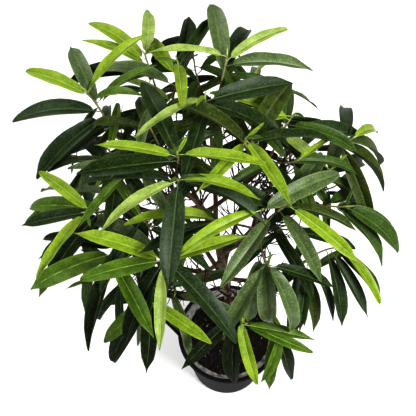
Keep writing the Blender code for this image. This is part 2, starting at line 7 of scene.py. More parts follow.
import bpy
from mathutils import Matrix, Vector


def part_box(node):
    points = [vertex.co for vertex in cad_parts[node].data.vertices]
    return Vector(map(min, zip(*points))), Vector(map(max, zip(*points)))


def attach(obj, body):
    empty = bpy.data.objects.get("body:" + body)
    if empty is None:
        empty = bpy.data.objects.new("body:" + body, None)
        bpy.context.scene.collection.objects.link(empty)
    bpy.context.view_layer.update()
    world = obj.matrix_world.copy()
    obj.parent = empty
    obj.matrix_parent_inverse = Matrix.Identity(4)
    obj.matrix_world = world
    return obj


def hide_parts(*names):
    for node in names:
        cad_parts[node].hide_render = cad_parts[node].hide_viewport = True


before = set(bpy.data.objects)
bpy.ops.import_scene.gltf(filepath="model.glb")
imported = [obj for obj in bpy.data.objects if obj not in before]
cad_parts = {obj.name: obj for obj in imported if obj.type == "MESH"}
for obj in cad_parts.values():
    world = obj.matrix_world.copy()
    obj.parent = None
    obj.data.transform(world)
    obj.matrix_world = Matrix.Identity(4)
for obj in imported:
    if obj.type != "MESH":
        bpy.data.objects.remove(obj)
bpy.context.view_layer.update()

# %% Blender's modules and the names of the solids
import math
import random

import bpy
import numpy as np
from mathutils.bvhtree import BVHTree

BODY = "root"
LIMBS = sorted(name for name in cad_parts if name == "trunk" or name.startswith("bough_"))
MASSES = sorted(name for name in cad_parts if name.startswith("foliage_"))
UP = np.array((0.0, 0.0, 1.0))
print(len(LIMBS), "limbs and", len(MASSES), "masses of foliage")

# %% [markdown]
# ## The camera
# The photograph looks down on the plant from a little way in front of it, so the pot shows only
# low in the picture. Elevation, distance and lens were worked out from the pot's round rim and the
# crown's outline. A camera turned by X alone looks along +Y and down.

# %% The camera
CAMERA_HEIGHT_ANGLE = 62.0
CAMERA_PLACE = (-0.0507, -0.5494, 1.922)
CAMERA_LENS = 61.1

lens = bpy.data.cameras.new("camera")
lens.lens = CAMERA_LENS
camera = bpy.data.objects.new("camera", lens)
camera.location = CAMERA_PLACE
camera.rotation_euler = (math.radians(90.0 - CAMERA_HEIGHT_ANGLE), 0.0, 0.0)
bpy.context.scene.collection.objects.link(camera)
bpy.context.scene.camera = camera
print("the camera stands at", CAMERA_PLACE, "and looks down by", CAMERA_HEIGHT_ANGLE, "degrees")

# %% [markdown]
# ## Light
# A plain white surrounding lights the plant from all sides, as a studio tent does. Of the three
# lamps the key, on the right and in front, is the brightest: it gives the folded leaves a light half
# and a dark half. The fill softens the left side and the back lamp keeps the floor white. The
# standard view transform keeps the young leaves' yellow green, and a gamma below one deepens it.

# %% The lamps and the white surrounding
SKY_STRENGTH = 0.44
STEEPNESS = 0.8
LAMPS = {
    "key": ((1.5, -1.1, 2.6), 1.0, 98.0),
    "fill": ((-1.9, -0.6, 2.4), 1.8, 34.0),
    "back": ((-1.6, 2.2, 2.6), 1.8, 52.0),
}
LAMP_AIM = np.array((-0.05, 0.03, 0.6))


def add_lamp(name, place, size, power):
    """A square lamp that faces the middle of the crown."""
    lamp = bpy.data.lights.new(name, "AREA")
    lamp.size = size
    lamp.energy = power
    item = bpy.data.objects.new(name, lamp)
    bpy.context.scene.collection.objects.link(item)
    item.location = place
    aim = LAMP_AIM - np.array(place)
    spin = math.atan2(aim[1], aim[0]) - math.pi / 2
    tilt = math.acos(-aim[2] / np.linalg.norm(aim))
    item.rotation_euler = (tilt, 0.0, spin)


for lamp_name, (lamp_place, lamp_size, lamp_power) in LAMPS.items():
    add_lamp(lamp_name, lamp_place, lamp_size, lamp_power)
world = bpy.data.worlds.new("white surrounding")
world.use_nodes = True
world.node_tree.nodes["Background"].inputs["Color"].default_value = (1.0, 1.0, 1.0, 1.0)
world.node_tree.nodes["Background"].inputs["Strength"].default_value = SKY_STRENGTH
bpy.context.scene.world = world
bpy.context.scene.view_settings.view_transform = "Standard"
bpy.context.scene.view_settings.gamma = STEEPNESS
print(len(LAMPS), "lamps and a white surrounding")

# %% [markdown]
# ## Meshes from arrays
# Every new surface here is a stack of rings: each ring has the same number of corners, and each
# ring is joined to the next. A pole at each end closes the skin, so that every piece is a solid
# that could be printed. The helpers below give the faces of such a stack and make the mesh.


# %% Helpers for stacked rings
PATTERN_MAP = "leaf_places"
UPRIGHT = 0.8
LEVEL_WAY = (1.0, 0.3, 0.1)
STEEP_WAY = (0.3, 0.2, 1.0)


def unit(vector):
    """The vector at length one."""
    vector = np.asarray(vector, float)
    return vector / np.linalg.norm(vector)


def round_angles(count):
    """Angles of a number of places spread evenly round a circle."""
    return 2 * math.pi * np.arange(count) / count


def turned_rings(outline, steps):
    """Turn an outline of (radius, height) round the Z axis: one ring for each of its points."""
    angle = round_angles(steps)
    return np.stack([outline[:, :1] * np.cos(angle), outline[:, :1] * np.sin(angle),
                     outline[:, 1:] + 0 * angle], axis=-1)


def stack_faces(rings, sides):
    """Faces of a closed stack: quads between ring and ring, and a fan of triangles to each pole.

    Corner j of ring i has the number i * sides + j. The poles come after the rings.
    """
    corner = np.arange(sides)
    after = (corner + 1) % sides
    ring = sides * np.arange(rings - 1)[:, None]
    quads = np.stack([ring + corner, ring + after, ring + sides + after, ring + sides + corner], axis=-1)
    last = sides * (rings - 1)
    foot = np.stack([np.full(sides, rings * sides), after, corner], axis=-1)
    head = np.stack([np.full(sides, rings * sides + 1), last + corner, last + after], axis=-1)
    return quads.reshape(-1, 4), np.concatenate([foot, head])


def closed_shape(rings, foot=None, head=None):
    """Corners and faces of a stack. Poles that aren't given lie in the middle of the end rings."""
    foot = rings[0].mean(axis=0) if foot is None else foot
    head = rings[-1].mean(axis=0) if head is None else head
    return np.concatenate([rings.reshape(-1, 3), [foot, head]]), stack_faces(*rings.shape[:2])


def tube_rings(line, radii, sides):
    """Rings of a tube: the point on the line plus radius * (cos a * side + sin a * other side)."""
    ways = np.gradient(line, axis=0)
    ways /= np.linalg.norm(ways, axis=1)[:, None]
    across = np.cross(ways, LEVEL_WAY if abs(ways[0, 2]) > UPRIGHT else STEEP_WAY)
    across /= np.linalg.norm(across, axis=1)[:, None]
    other = np.cross(ways, across)
    angle = round_angles(sides)
    spoke = np.cos(angle)[:, None] * across[:, None] + np.sin(angle)[:, None] * other[:, None]
    radii = np.asarray(radii, float)
    radii = radii[:, None] if radii.ndim == 1 else radii
    return line[:, None] + radii[:, :, None] * spoke


def tube_shape(line, radii, sides):
    """A closed tube along a line."""
    return closed_shape(tube_rings(line, radii, sides))


def distance_along(line):
    """How far each point lies along its line, in metres."""
    return np.concatenate([[0.0], np.cumsum(np.linalg.norm(np.diff(line, axis=0), axis=1))])


def make_piece(name, shapes, materials, shades=None, patterns=None, rides=True):
    """One mesh object from many shapes (corners, faces).

    Shades gives a material number for each face, and patterns a place in the UV map for each corner.
    """
    places, faces, start = [], [], 0
    for corners, groups in shapes:
        places.append(corners)
        for group in groups:
            faces += (group + start).tolist()
        start += len(corners)
    mesh = bpy.data.meshes.new(name)
    mesh.from_pydata(np.concatenate(places).tolist(), [], faces)
    for material in materials:
        mesh.materials.append(material)
    if shades is not None:
        mesh.polygons.foreach_set("material_index", np.concatenate(shades).astype(np.int32))
    if patterns is not None:
        corner_numbers = np.empty(len(mesh.loops), np.int32)
        mesh.loops.foreach_get("vertex_index", corner_numbers)
        layer = mesh.uv_layers.new(name=PATTERN_MAP)
        spots = np.concatenate(patterns)[corner_numbers]
        layer.uv.foreach_set("vector", spots.astype(np.float32).reshape(-1))
    mesh.shade_smooth()
    mesh.update()
    piece = bpy.data.objects.new(name, mesh)
    bpy.context.scene.collection.objects.link(piece)
    if rides:
        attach(piece, BODY)
    triangles = sum(len(face) - 2 for face in faces)
    print(f"{name}: {len(shapes)} shapes, {triangles} triangles")
    return piece


# %% [markdown]
# ## Shared shader effects
# Several finishes here need the same thing: fine mottling that changes colour, gloss and relief a
# little from place to place. It is built once, as a node group that reads the Object coordinates,
# and each material places it with its own scale. The shader itself stays in the material.


# %% The mottling group
MOTTLE_DETAIL = (3.0, 4.0)
FINER = 6.0
COARSE_BAND = (0.35, 0.65)
FINE_SHARE = 0.5


def srgb(red, green, blue):
    """Linear colour, with an alpha of one, of a screen colour given in 0 to 255."""
    share = np.array((red, green, blue)) / 255.0
    return (*np.where(share <= 0.04045, share / 12.92, ((share + 0.055) / 1.055) ** 2.4), 1.0)


def add_node(tree, kind, inputs=None, **settings):
    """A shader node with its settings, whose inputs are plain values or the sockets that feed them."""
    node = tree.nodes.new("ShaderNode" + kind)
    for name, value in settings.items():
        setattr(node, name, value)
    for socket, value in (inputs or {}).items():
        if isinstance(value, bpy.types.NodeSocket):
            tree.links.new(value, node.inputs[socket])
        else:
            node.inputs[socket].default_value = value
    return node


def calculate(tree, operation, *values):
    """The result of a math node that is fed by sockets or plain numbers."""
    return add_node(tree, "Math", dict(enumerate(values)), operation=operation).outputs["Value"]


def map_range(tree, value, start=(0.0, 1.0), end=(0.0, 1.0), **settings):
    """A value spread from its start range to its end range."""
    ranges = zip(("From Min", "From Max", "To Min", "To Max"), (*start, *end))
    return add_node(tree, "MapRange", {"Value": value, **dict(ranges)}, **settings).outputs["Result"]


def blend(tree, share, first, second):
    """The first colour with a share of the second one."""
    node = add_node(tree, "Mix", {"Factor": share, "A": first, "B": second}, data_type="RGBA")
    return node.outputs["Result"]


def new_group(name, starts):
    """A node group and the sockets of the plain numbers that it is given."""
    group = bpy.data.node_groups.new(name, "ShaderNodeTree")
    for label, start in starts.items():
        socket = group.interface.new_socket(label, in_out="INPUT", socket_type="NodeSocketFloat")
        socket.default_value = start
    return group, group.nodes.new("NodeGroupInput").outputs


def give_out(group, results):
    """Let a group give out its results, each under its name."""
    for label in results:
        group.interface.new_socket(label, in_out="OUTPUT", socket_type="NodeSocketFloat")
    sink = group.nodes.new("NodeGroupOutput")
    for label, socket in results.items():
        group.links.new(socket, sink.inputs[label])


def mottling_group():
    """A group that gives a coarse mask, a fine mask and a height, all from noise in metres."""
    group, given = new_group("mottling", {"Scale": 60.0, "Stretch": 1.0})
    place = add_node(group, "TexCoord").outputs["Object"]
    squeeze = add_node(group, "CombineXYZ", {"X": 1.0, "Y": 1.0, "Z": given["Stretch"]}).outputs["Vector"]
    scaled = add_node(group, "VectorMath", {0: place, 1: squeeze}, operation="MULTIPLY").outputs["Vector"]
    scales = given["Scale"], calculate(group, "MULTIPLY", given["Scale"], FINER)
    coarse, fine = (
        add_node(group, "TexNoise", {"Vector": scaled, "Scale": scale, "Detail": detail}).outputs["Fac"]
        for scale, detail in zip(scales, MOTTLE_DETAIL))
    give_out(group, {"Coarse": map_range(group, coarse, COARSE_BAND), "Fine": fine,
                     "Height": calculate(group, "MULTIPLY_ADD", fine, FINE_SHARE, coarse)})
    return group


MOTTLING = mottling_group()


def finish_material(name, colours, scale, roughness, relief, stretch=1.0, gloss=0.5):
    """A mottled finish: two screen colours mixed by the coarse mask, gloss and relief by the others."""
    material = bpy.data.materials.new(name)
    material.use_nodes = True
    tree = material.node_tree
    shader = tree.nodes["Principled BSDF"].inputs
    shader["Specular IOR Level"].default_value = gloss
    mottle = add_node(tree, "Group", {"Scale": scale, "Stretch": stretch}, node_tree=MOTTLING).outputs
    bump = add_node(tree, "Bump", {"Strength": 1.0, "Distance": relief, "Height": mottle["Height"]})
    first, second = (srgb(*colour) for colour in colours)
    tree.links.new(blend(tree, mottle["Coarse"], first, second), shader["Base Color"])
    tree.links.new(map_range(tree, mottle["Fine"], end=roughness), shader["Roughness"])
    tree.links.new(bump.outputs["Normal"], shader["Normal"])
    return material


print("the mottling group has", len(MOTTLING.nodes), "nodes")

# %% [markdown]
# ## The floor
# The plant stands on a wide pale floor.

# %% The floor
FLOOR_RADIUS = 9.0
FLOOR_DROP = 0.0005
FLOOR_THICK = 0.01
FLOOR_SIDES = 64
PALE = (252, 252, 251), (250, 250, 249)

floor_outline = [(FLOOR_RADIUS, -(FLOOR_DROP + FLOOR_THICK)), (FLOOR_RADIUS, -FLOOR_DROP)]
floor_shape = closed_shape(turned_rings(np.array(floor_outline), FLOOR_SIDES))
floor_paint = finish_material("pale floor", PALE, scale=3.0, roughness=(0.8, 0.9), relief=0.0)
floor = make_piece("floor", [floor_shape], [floor_paint], rides=False)
floor.data.shade_flat()

# %% [markdown]
# ## The pot
# A nursery pot is blow-moulded in thin black plastic: a tapered wall, a thick lip that stacks on
# the next pot, and drain holes near the edge of its floor. It is a profile turned round the Z
# axis. Its rim, its height and the soil's level are read from the imported pot and soil. Above the
# soil a crust slopes from the inner wall to the soil: it is a grey band with a ragged edge and a
# second finish, whose grey is partly dry dust and partly painted sheen, the light that the lit
# wall reflects. CRUST_ROWS gives the height above the soil and the crust's thickness.

# %% The pot's profile
POT_STEPS = 144
LIP_HEIGHT = 0.014
LIP_WIDTH = 0.0065
WALL = 0.0025
POT_FLOOR = 0.003
ROUNDING = 0.003
CRUST = 0.012
DRAIN_HOLES = 6
DRAIN_RADIUS = 0.005
DRAIN_CIRCLE = 0.072
FOOT_RADIUS = 0.095
FOOT_FLAT = 0.085
CENTRE_RADIUS = 0.03
OUTSIDE_HEIGHTS = (0.035, 0.07, 0.12, 0.17)
INSIDE_HEIGHTS = (0.10, 0.03)
CRUST_ROWS = ((0.013, 0.001), (0.008, 0.004), (0.004, 0.008), (0.0005, CRUST), (-0.006, CRUST + 0.001),
              (-0.018, 0.0))

pot_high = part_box("pot")[1]
soil_low, soil_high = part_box("soil")
RIM_RADIUS = pot_high[0]
POT_HEIGHT = pot_high[2]
SOIL_TOP = soil_high[2]
print(f"the pot is {POT_HEIGHT:.3f} m high with a rim of {RIM_RADIUS:.3f} m, soil at {SOIL_TOP:.3f} m")


def wall_radius(height):
    """Outer radius of the wall: a straight taper from the foot to the lip."""
    return FOOT_RADIUS + (RIM_RADIUS - LIP_WIDTH - FOOT_RADIUS) * height / POT_HEIGHT


def round_corner(middle, radius, first, last, count=6):
    """Points of an arc round a middle, from one angle in degrees to another."""
    angle = np.radians(np.linspace(first, last, count))
    return np.stack([middle[0] + radius * np.cos(angle), middle[1] + radius * np.sin(angle)], axis=-1)


lip_foot = POT_HEIGHT - LIP_HEIGHT
inner_top = wall_radius(POT_HEIGHT) - WALL
lip_middle = (inner_top + RIM_RADIUS) / 2
lip_half = (RIM_RADIUS - inner_top) / 2
lip_arc = round_corner((0.0, 0.0), 1.0, 2, 178, 14) * (lip_half, ROUNDING)
lip_arc += (lip_middle, POT_HEIGHT - ROUNDING)
inside_heights = np.array([POT_HEIGHT - 1.2 * ROUNDING] + [SOIL_TOP + above for above, _ in CRUST_ROWS]
                          + list(INSIDE_HEIGHTS))
crust = np.array([0.0] + [thick for _, thick in CRUST_ROWS] + [0.0] * len(INSIDE_HEIGHTS))
inside = np.stack([wall_radius(inside_heights) - WALL - crust, inside_heights], axis=-1)
outside_heights = np.array((ROUNDING + 0.0015, *OUTSIDE_HEIGHTS, lip_foot - 0.006, lip_foot - 0.001))
outside = np.stack([wall_radius(outside_heights), outside_heights], axis=-1)
floor_radius = wall_radius(POT_FLOOR) - WALL
floor_rows = [(floor_radius, POT_FLOOR + 0.002), (floor_radius - 0.002, POT_FLOOR),
              (CENTRE_RADIUS, POT_FLOOR)]
profile = np.concatenate([
    [(CENTRE_RADIUS, 0.0), (FOOT_FLAT, 0.0)],
    round_corner((FOOT_RADIUS - ROUNDING, ROUNDING), ROUNDING, -90, 0),
    outside,
    [(wall_radius(lip_foot) + 0.001, lip_foot), (RIM_RADIUS - 0.001, lip_foot)],
    [(RIM_RADIUS, lip_foot + 0.001), (RIM_RADIUS, POT_HEIGHT - 0.006)],
    lip_arc,
    inside,
    floor_rows,
])
print("the pot's profile has", len(profile), "points")

# %% [markdown]
# The crust and the soil are uneven. They take their unevenness from sums of waves in random
# directions. One generator with a fixed seed draws them, and then the crumbs, the bark, the twigs
# and the buds, so that every run gives the same surfaces.

# %% Waves for the crust and the soil
rng = np.random.default_rng(11)


def waves(x, y, count, low, high):
    """A sum of sine waves in random directions, with wavelengths from low to high, between -1 and 1."""
    total = np.zeros(np.broadcast(x, y).shape)
    for _ in range(count):
        turn, phase = rng.uniform(0, 2 * math.pi, 2)
        crest = 2 * math.pi / rng.uniform(low, high)
        total += np.sin(crest * (x * math.cos(turn) + y * math.sin(turn)) + phase)
    return total / count


# %% [markdown]
# The drain holes are cut with a Boolean modifier, because a turned surface can't have holes of its
# own. The six drills are one mesh, and both the modifier and the drills are gone once it is applied.

# %% The pot's finishes and its drain holes
# The inner wall's grey is partly dust and partly painted sheen: light reflected by the wall.
BLACK = (4, 4, 5), (10, 10, 11)
DUST_AND_SHEEN = (74, 73, 71), (150, 148, 143)
DRILL_SIDES = 24
POT_CREASE = math.radians(35)
RAGGED = 0.05
RAGGED_FROM = 2
RAGGED_WAVES = (12, 0.008, 0.05)
RAGGED_ROWS = np.array((0.3, 0.7, 1.0, 0.7))
RAGGED_WAYS = np.array((0.5, 0.5, 0.05))

black_plastic = finish_material("black pot plastic", BLACK, scale=45.0, roughness=(0.55, 0.8),
                                relief=0.0002, gloss=0.1)
dust_and_sheen_plastic = finish_material("pot wall dust and painted sheen", DUST_AND_SHEEN, scale=70.0, roughness=(0.75, 0.95),
                                relief=0.0005, gloss=0.2)
pot_rings = turned_rings(profile, POT_STEPS)
dust_and_sheen_end = len(profile) - len(floor_rows)
dust_and_sheen_start = dust_and_sheen_end - len(inside)
crust_start = dust_and_sheen_start + RAGGED_FROM
crust_rings = pot_rings[crust_start:crust_start + len(RAGGED_ROWS)]
ragged = RAGGED * waves(crust_rings[:, :, 0], crust_rings[:, :, 1], *RAGGED_WAVES)
crust_rings *= 1 + ragged[:, :, None] * RAGGED_WAYS * RAGGED_ROWS[:, None, None]
pot_shape = closed_shape(pot_rings, np.zeros(3), POT_FLOOR * UP)
pot_rows = np.arange(len(pot_shape[1][0])) // POT_STEPS
# The inner wall's faces take the grey of dust and painted sheen.
pot_shades = (pot_rows >= dust_and_sheen_start) & (pot_rows < dust_and_sheen_end)
pot_shades = np.concatenate([pot_shades, np.zeros(len(pot_shape[1][1]), bool)])
pot = make_piece("nursery_pot", [pot_shape], [black_plastic, dust_and_sheen_plastic], [pot_shades])

drill_turns = 2 * math.pi * (np.arange(DRAIN_HOLES) + 0.5) / DRAIN_HOLES
drill_ring = turned_rings(np.array(((DRAIN_RADIUS, -0.01), (DRAIN_RADIUS, 0.01))), DRILL_SIDES)
drill_shapes = []
for turn in drill_turns:
    shift = DRAIN_CIRCLE * np.array((math.cos(turn), math.sin(turn), 0.0))
    drill_shapes.append(closed_shape(drill_ring + shift))
drills = make_piece("drain_drills", drill_shapes, [black_plastic])
cut = pot.modifiers.new("drain holes", "BOOLEAN")
cut.operation = "DIFFERENCE"
cut.object = drills
graph = bpy.context.evaluated_depsgraph_get()
pot_mesh = bpy.data.meshes.new_from_object(pot.evaluated_get(graph))
pot.modifiers.clear()
pot.data = pot_mesh
pot.data.set_sharp_from_angle(angle=POT_CREASE)
bpy.data.objects.remove(drills, do_unlink=True)
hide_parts("pot")
print("the pot has", len(pot.data.polygons), "faces")

# %% [markdown]
# ## The soil
# Potting soil is crumbs of peat and bark, heaped unevenly against the wall. Its body is a turned
# surface whose top rolls by two sets of waves: SOIL_WAVES gives their height, number, range of
# lengths and shift. On it lie hundreds of crumbs in four tints, with grains of pale perlite among
# them. A crumb is a squashed ball of 24 faces, and its size, stretch and turn are drawn at random.

# %% The body of the soil
SOIL_STEPS = 96
SOIL_GAP = 0.0006
SOIL_ROWS = 26
SOIL_WAVES = ((0.006, 9, (0.03, 0.09), -0.001), (0.003, 14, (0.006, 0.016), 0.0))
PEAT = (8, 6, 4), (20, 15, 11)

soil_radius = wall_radius(SOIL_TOP) - WALL - CRUST + 0.003
soil_wide = wall_radius(SOIL_TOP - 0.02) - WALL - SOIL_GAP
soil_low_radius = wall_radius(soil_low[2]) - WALL - SOIL_GAP
top_radii = np.linspace(soil_radius - 0.001, 0.004, SOIL_ROWS)
soil_outline = np.concatenate([
    [(0.01, soil_low[2]), (soil_low_radius - 0.001, soil_low[2])],
    [(soil_low_radius, soil_low[2] + 0.001), (soil_wide, SOIL_TOP - 0.02), (soil_radius, SOIL_TOP - 0.007)],
    np.stack([top_radii, np.full(SOIL_ROWS, SOIL_TOP)], axis=-1),
])
soil_rings = turned_rings(soil_outline, SOIL_STEPS)
soil_top = soil_rings[-SOIL_ROWS:]
for height, count, lengths, shift in SOIL_WAVES:
    soil_top[:, :, 2] += height * waves(soil_top[:, :, 0], soil_top[:, :, 1], count, *lengths) + shift
soil_brown = finish_material("peat", PEAT, 160.0, (0.85, 1.0), 0.0012, gloss=0.1)
soil_poles = np.array((0, 0, soil_low[2])), np.array((0, 0, soil_top[-1, :, 2].mean()))
soil = make_piece("soil_body", [closed_shape(soil_rings, *soil_poles)], [soil_brown])
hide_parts("soil")


# %% Crumbs on the soil
CRUMBS = {
    "crumbs_dark": (700, (0.0012, 0.0034), ((9, 7, 5), (19, 14, 10))),
    "crumbs_brown": (420, (0.0012, 0.0030), ((22, 16, 11), (38, 28, 20))),
    "crumbs_bark": (80, (0.0020, 0.0042), ((40, 30, 22), (60, 46, 34))),
    "crumbs_perlite": (22, (0.0010, 0.0020), ((150, 147, 140), (178, 174, 166))),
}
CRUMB_SIDES = 6
CRUMB_LIFTS = np.radians((-50.0, 0.0, 50.0))
CRUMB_STRETCH = ((0.7, 0.5, 0.35), (1.5, 1.0, 0.8))
CRUMB_ROUGH = 0.22
CRUMB_RISE = 0.3


def crumbs(count, size, reach):
    """Squashed balls: six corners on each of three rings, each stretched, turned and sunk a little."""
    shapes = []
    ball = turned_rings(np.stack([np.cos(CRUMB_LIFTS), np.sin(CRUMB_LIFTS)], axis=-1), CRUMB_SIDES)
    poles = np.array(((0, 0, -1.0), (0, 0, 1.0)))
    for _ in range(count):
        radius = rng.uniform(*size)
        stretch = radius * rng.uniform(*CRUMB_STRETCH)
        turn, spread = rng.uniform(0, 2 * math.pi), reach * math.sqrt(rng.uniform(0.01, 1.0))
        way = rng.uniform(0, 2 * math.pi)
        cos, sin = math.cos(turn), math.sin(turn)
        spin = np.array(((cos, -sin, 0), (sin, cos, 0), (0, 0, 1)))
        rough = 1 + rng.uniform(-CRUMB_ROUGH, CRUMB_ROUGH, (len(CRUMB_LIFTS), CRUMB_SIDES, 1))
        x, y = spread * math.cos(way), spread * math.sin(way)
        near = np.hypot(soil_top[:, :, 0] - x, soil_top[:, :, 1] - y).argmin()
        ground = soil_top[:, :, 2].reshape(-1)[near]
        shift = np.array((x, y, ground + CRUMB_RISE * stretch[2]))
        rings = (ball * rough * stretch) @ spin.T + shift
        ends = (poles * stretch) @ spin.T + shift
        shapes.append(closed_shape(rings, *ends))
    return shapes


for crumb_name, (crumb_count, crumb_size, crumb_colours) in CRUMBS.items():
    crumb_finish = finish_material(crumb_name, crumb_colours, 300.0, (0.85, 1.0), 0.0004, gloss=0.2)
    crumb = make_piece(crumb_name, crumbs(crumb_count, crumb_size, soil_radius - 0.006), [crumb_finish])
    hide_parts("soil")

# %% [markdown]
# ## How the plant grows
# The masses of foliage follow one rule: a stem goes on from each bough's tip, twigs fork from its
# end, and leaves stand round each twig's tip. The same rule is written here again, with the same
# sizes and seeds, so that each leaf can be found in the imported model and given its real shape.

# %% The trunk and the boughs
TRUNK_FOOT = (0.0, 0.0, 0.2133)
TRUNK_TIP = (-0.040, 0.030, 0.775)
TRUNK_RADIUS = 0.0105
TRUNK_TIP_RADIUS = 0.0065
TRUNK_POINTS = 12
BOUGHS = {
    "top_left": ("trunk", 0.99, (-0.092, 0.020, 0.930), 0.0060),
    "back_left": ("trunk", 0.93, (-0.110, 0.120, 0.900), 0.0050),
    "back": ("trunk", 0.97, (-0.045, 0.110, 0.930), 0.0048),
    "left_back": ("trunk", 0.84, (-0.165, 0.095, 0.860), 0.0052),
    "right_front": ("trunk", 0.88, (0.020, -0.040, 0.880), 0.0050),
    "right": ("trunk", 0.80, (0.090, 0.030, 0.830), 0.0056),
    "right_low": ("trunk", 0.62, (0.070, -0.060, 0.740), 0.0048),
    "front_low": ("trunk", 0.52, (-0.010, -0.085, 0.730), 0.0046),
    "left_low": ("trunk", 0.66, (-0.160, -0.030, 0.745), 0.0050),
    "back_low_left": ("trunk", 0.60, (-0.130, 0.140, 0.745), 0.0050),
    "back_low_right": ("trunk", 0.70, (0.030, 0.150, 0.760), 0.0050),
    "left_front_low": ("trunk", 0.74, (-0.115, -0.090, 0.775), 0.0046),
    "upper_right": ("top_left", 0.30, (0.030, 0.050, 0.915), 0.0042),
    "left": ("top_left", 0.45, (-0.165, -0.005, 0.890), 0.0042),
    "front_left": ("left", 0.35, (-0.120, -0.070, 0.870), 0.0036),
    "right_back": ("right", 0.45, (0.080, 0.105, 0.860), 0.0042),
}
BOUGH_TIP_RADIUS = 0.0028
BOUGH_POINTS = 6
BOUGH_PULL = 0.9
BOUGH_LIFT = 0.35
FORK = 0.98


def arc(start, start_way, end, end_way, count):
    """Points of a cubic curve from start to end that leaves and arrives along the given ways."""
    start, end = np.asarray(start, float), np.asarray(end, float)
    t = np.linspace(0.0, 1.0, count)[:, None]
    reach = np.linalg.norm(end - start)
    first = np.asarray(start_way, float) * reach
    last = np.asarray(end_way, float) * reach
    return ((2 * t**3 - 3 * t**2 + 1) * start + (t**3 - 2 * t**2 + t) * first
            + (3 * t**2 - 2 * t**3) * end + (t**3 - t**2) * last)


def along(line, share):
    """The point at a share of the way along a line, and the line's way there."""
    place = share * (len(line) - 1)
    low = min(int(place), len(line) - 2)
    step = line[low + 1] - line[low]
    return line[low] + step * (place - low), unit(step)


def bough_lines(fineness):
    """The trunk's line and each bough's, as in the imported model, with more points for a finer skin."""
    trunk = (TRUNK_FOOT, (0.05, -0.04, 1.0), TRUNK_TIP, (-0.10, 0.10, 0.95))
    coarse = {"trunk": arc(*trunk, TRUNK_POINTS)}
    coarse["trunk"][1, :2] = coarse["trunk"][0, :2]
    fine = {"trunk": arc(*trunk, TRUNK_POINTS * fineness)}
    for name, (parent, share, tip, _) in BOUGHS.items():
        foot, parent_way = along(coarse[parent], share)
        way = unit(np.array(tip) - foot)
        side = unit(way - parent_way * (way @ parent_way))
        leave = unit(1.5 * side + parent_way) if share < FORK else unit(way + parent_way)
        ends = (foot, BOUGH_PULL * leave, tip, BOUGH_PULL * unit(way + BOUGH_LIFT * UP))
        coarse[name] = arc(*ends, BOUGH_POINTS)
        fine[name] = arc(*ends, BOUGH_POINTS * fineness)
    return coarse, fine


coarse_lines, fine_lines = bough_lines(12)
print("lines of", len(fine_lines), "limbs")

# %% The shoots
CROWN_CENTRE = np.array((-0.060, 0.035, 0.870))
CROWN_REACH = np.array((0.330, 0.330, 0.290))
CROWN_CORE = np.array((-0.030, 0.020, 0.720))
OPENING_FOOT = np.array((0.0, 0.0, 0.235))
OPENING_HEAD = np.array((-0.020, -0.200, 0.840))
OPENING_RADIUS = (0.125, 0.075)
SHOWN_SIDE = np.array((0.03, -0.47, 0.88))
SHOOTS = (
    ("back_left", (-0.155, 0.225, 1.005), 5, (172, 60), (), (155, 140, 92)),
    ("back_left", (-0.100, 0.200, 1.020), 5, (165, 86, 120), (), (78, 60, 275)),
    ("back", (-0.020, 0.200, 1.035), 3, (97, 70, 5), (), (33, 186)),
    ("back", (-0.055, 0.105, 1.050), 0, (255, 305, 20), (), (208,)),
    ("left_back", (-0.250, 0.165, 0.985), 14, (180, 112), (20, 335), (152, 38)),
    ("left_back", (-0.225, 0.140, 0.955), -8, (155, 165, 200, 213, 228), (), ()),
    ("top_left", (-0.095, 0.000, 1.055), 0, (183, 115), (), (168, 345)),
    ("top_left", (-0.094, -0.038, 1.046), 0, (175, 335, 265), (), (217, 340)),
    ("upper_right", (0.005, 0.030, 1.050), 0, (60, 150), (15,), (237, 298)),
    ("upper_right", (0.086, 0.115, 0.990), 0, (98, 12), (82, 350), (172, 186)),
    ("left", (-0.240, -0.040, 0.950), 3, (165, 205, 225), (180,), (140, 238)),
    ("left", (-0.200, -0.110, 0.920), 0, (165, 187, 250), (300,), ()),
    ("front_left", (-0.115, -0.135, 0.975), 0, (145, 225, 315), (190,), (165, 268, 15)),
    ("front_left", (-0.145, -0.160, 0.880), -5, (262, 230), (215,), (325,)),
    ("right_front", (-0.035, -0.075, 0.990), 0, (), (185,), (205,)),
    ("right_front", (0.028, -0.070, 1.015), 0, (20,), (150,), (204,)),
    ("right_front", (0.074, -0.050, 0.998), 0, (222, 55), (305, 170, 350), (325, 100)),
    ("right_front", (0.040, -0.130, 0.950), -30, (255, 285, 305), (232,), (355,)),
    ("right_back", (0.188, 0.098, 0.950), -22, (345, 300, 10), (85,), (45,)),
    ("right", (0.150, 0.050, 0.930), -10, (350, 40, 70), (), (140,)),
    ("right", (0.175, 0.000, 0.895), 0, (35, 15, 322, 355, 340), (), ()),
    ("right_low", (0.165, -0.064, 0.870), 0, (285, 305, 325), (), (308,)),
    ("right_low", (0.120, -0.083, 0.852), -12, (290, 262), (215,), (262, 300)),
    ("front_low", (0.005, -0.178, 0.817), -3, (268, 220), (), (288, 350, 5)),
    ("front_low", (0.073, -0.175, 0.790), -18, (300,), (262, 240), ()),
)
SEED = 5
CLEAR = 0.0003
MORE_SHOOTS = 34
SHOOT_SPACE = 0.076
MORE_REACH = (0.50, 0.74)
OUTER_REACH = 0.62
OPENING_SPACE = 0.03
OPENING_TOP = 1.3
GOLDEN_ANGLE = 137.5
LEAVES = (6, 7, 7, 8)
YOUNG_SHARE = 0.45
MID_SHARE = 0.50
SHOWN_FROM = 0.1
SHOWN_SHARE = 0.55
AHEAD = 0.035
AHEAD_SHARE = 0.6
FAR = 10.0
SHOOT_LIFT = 0.55
AGES = ("old", "mid", "young")


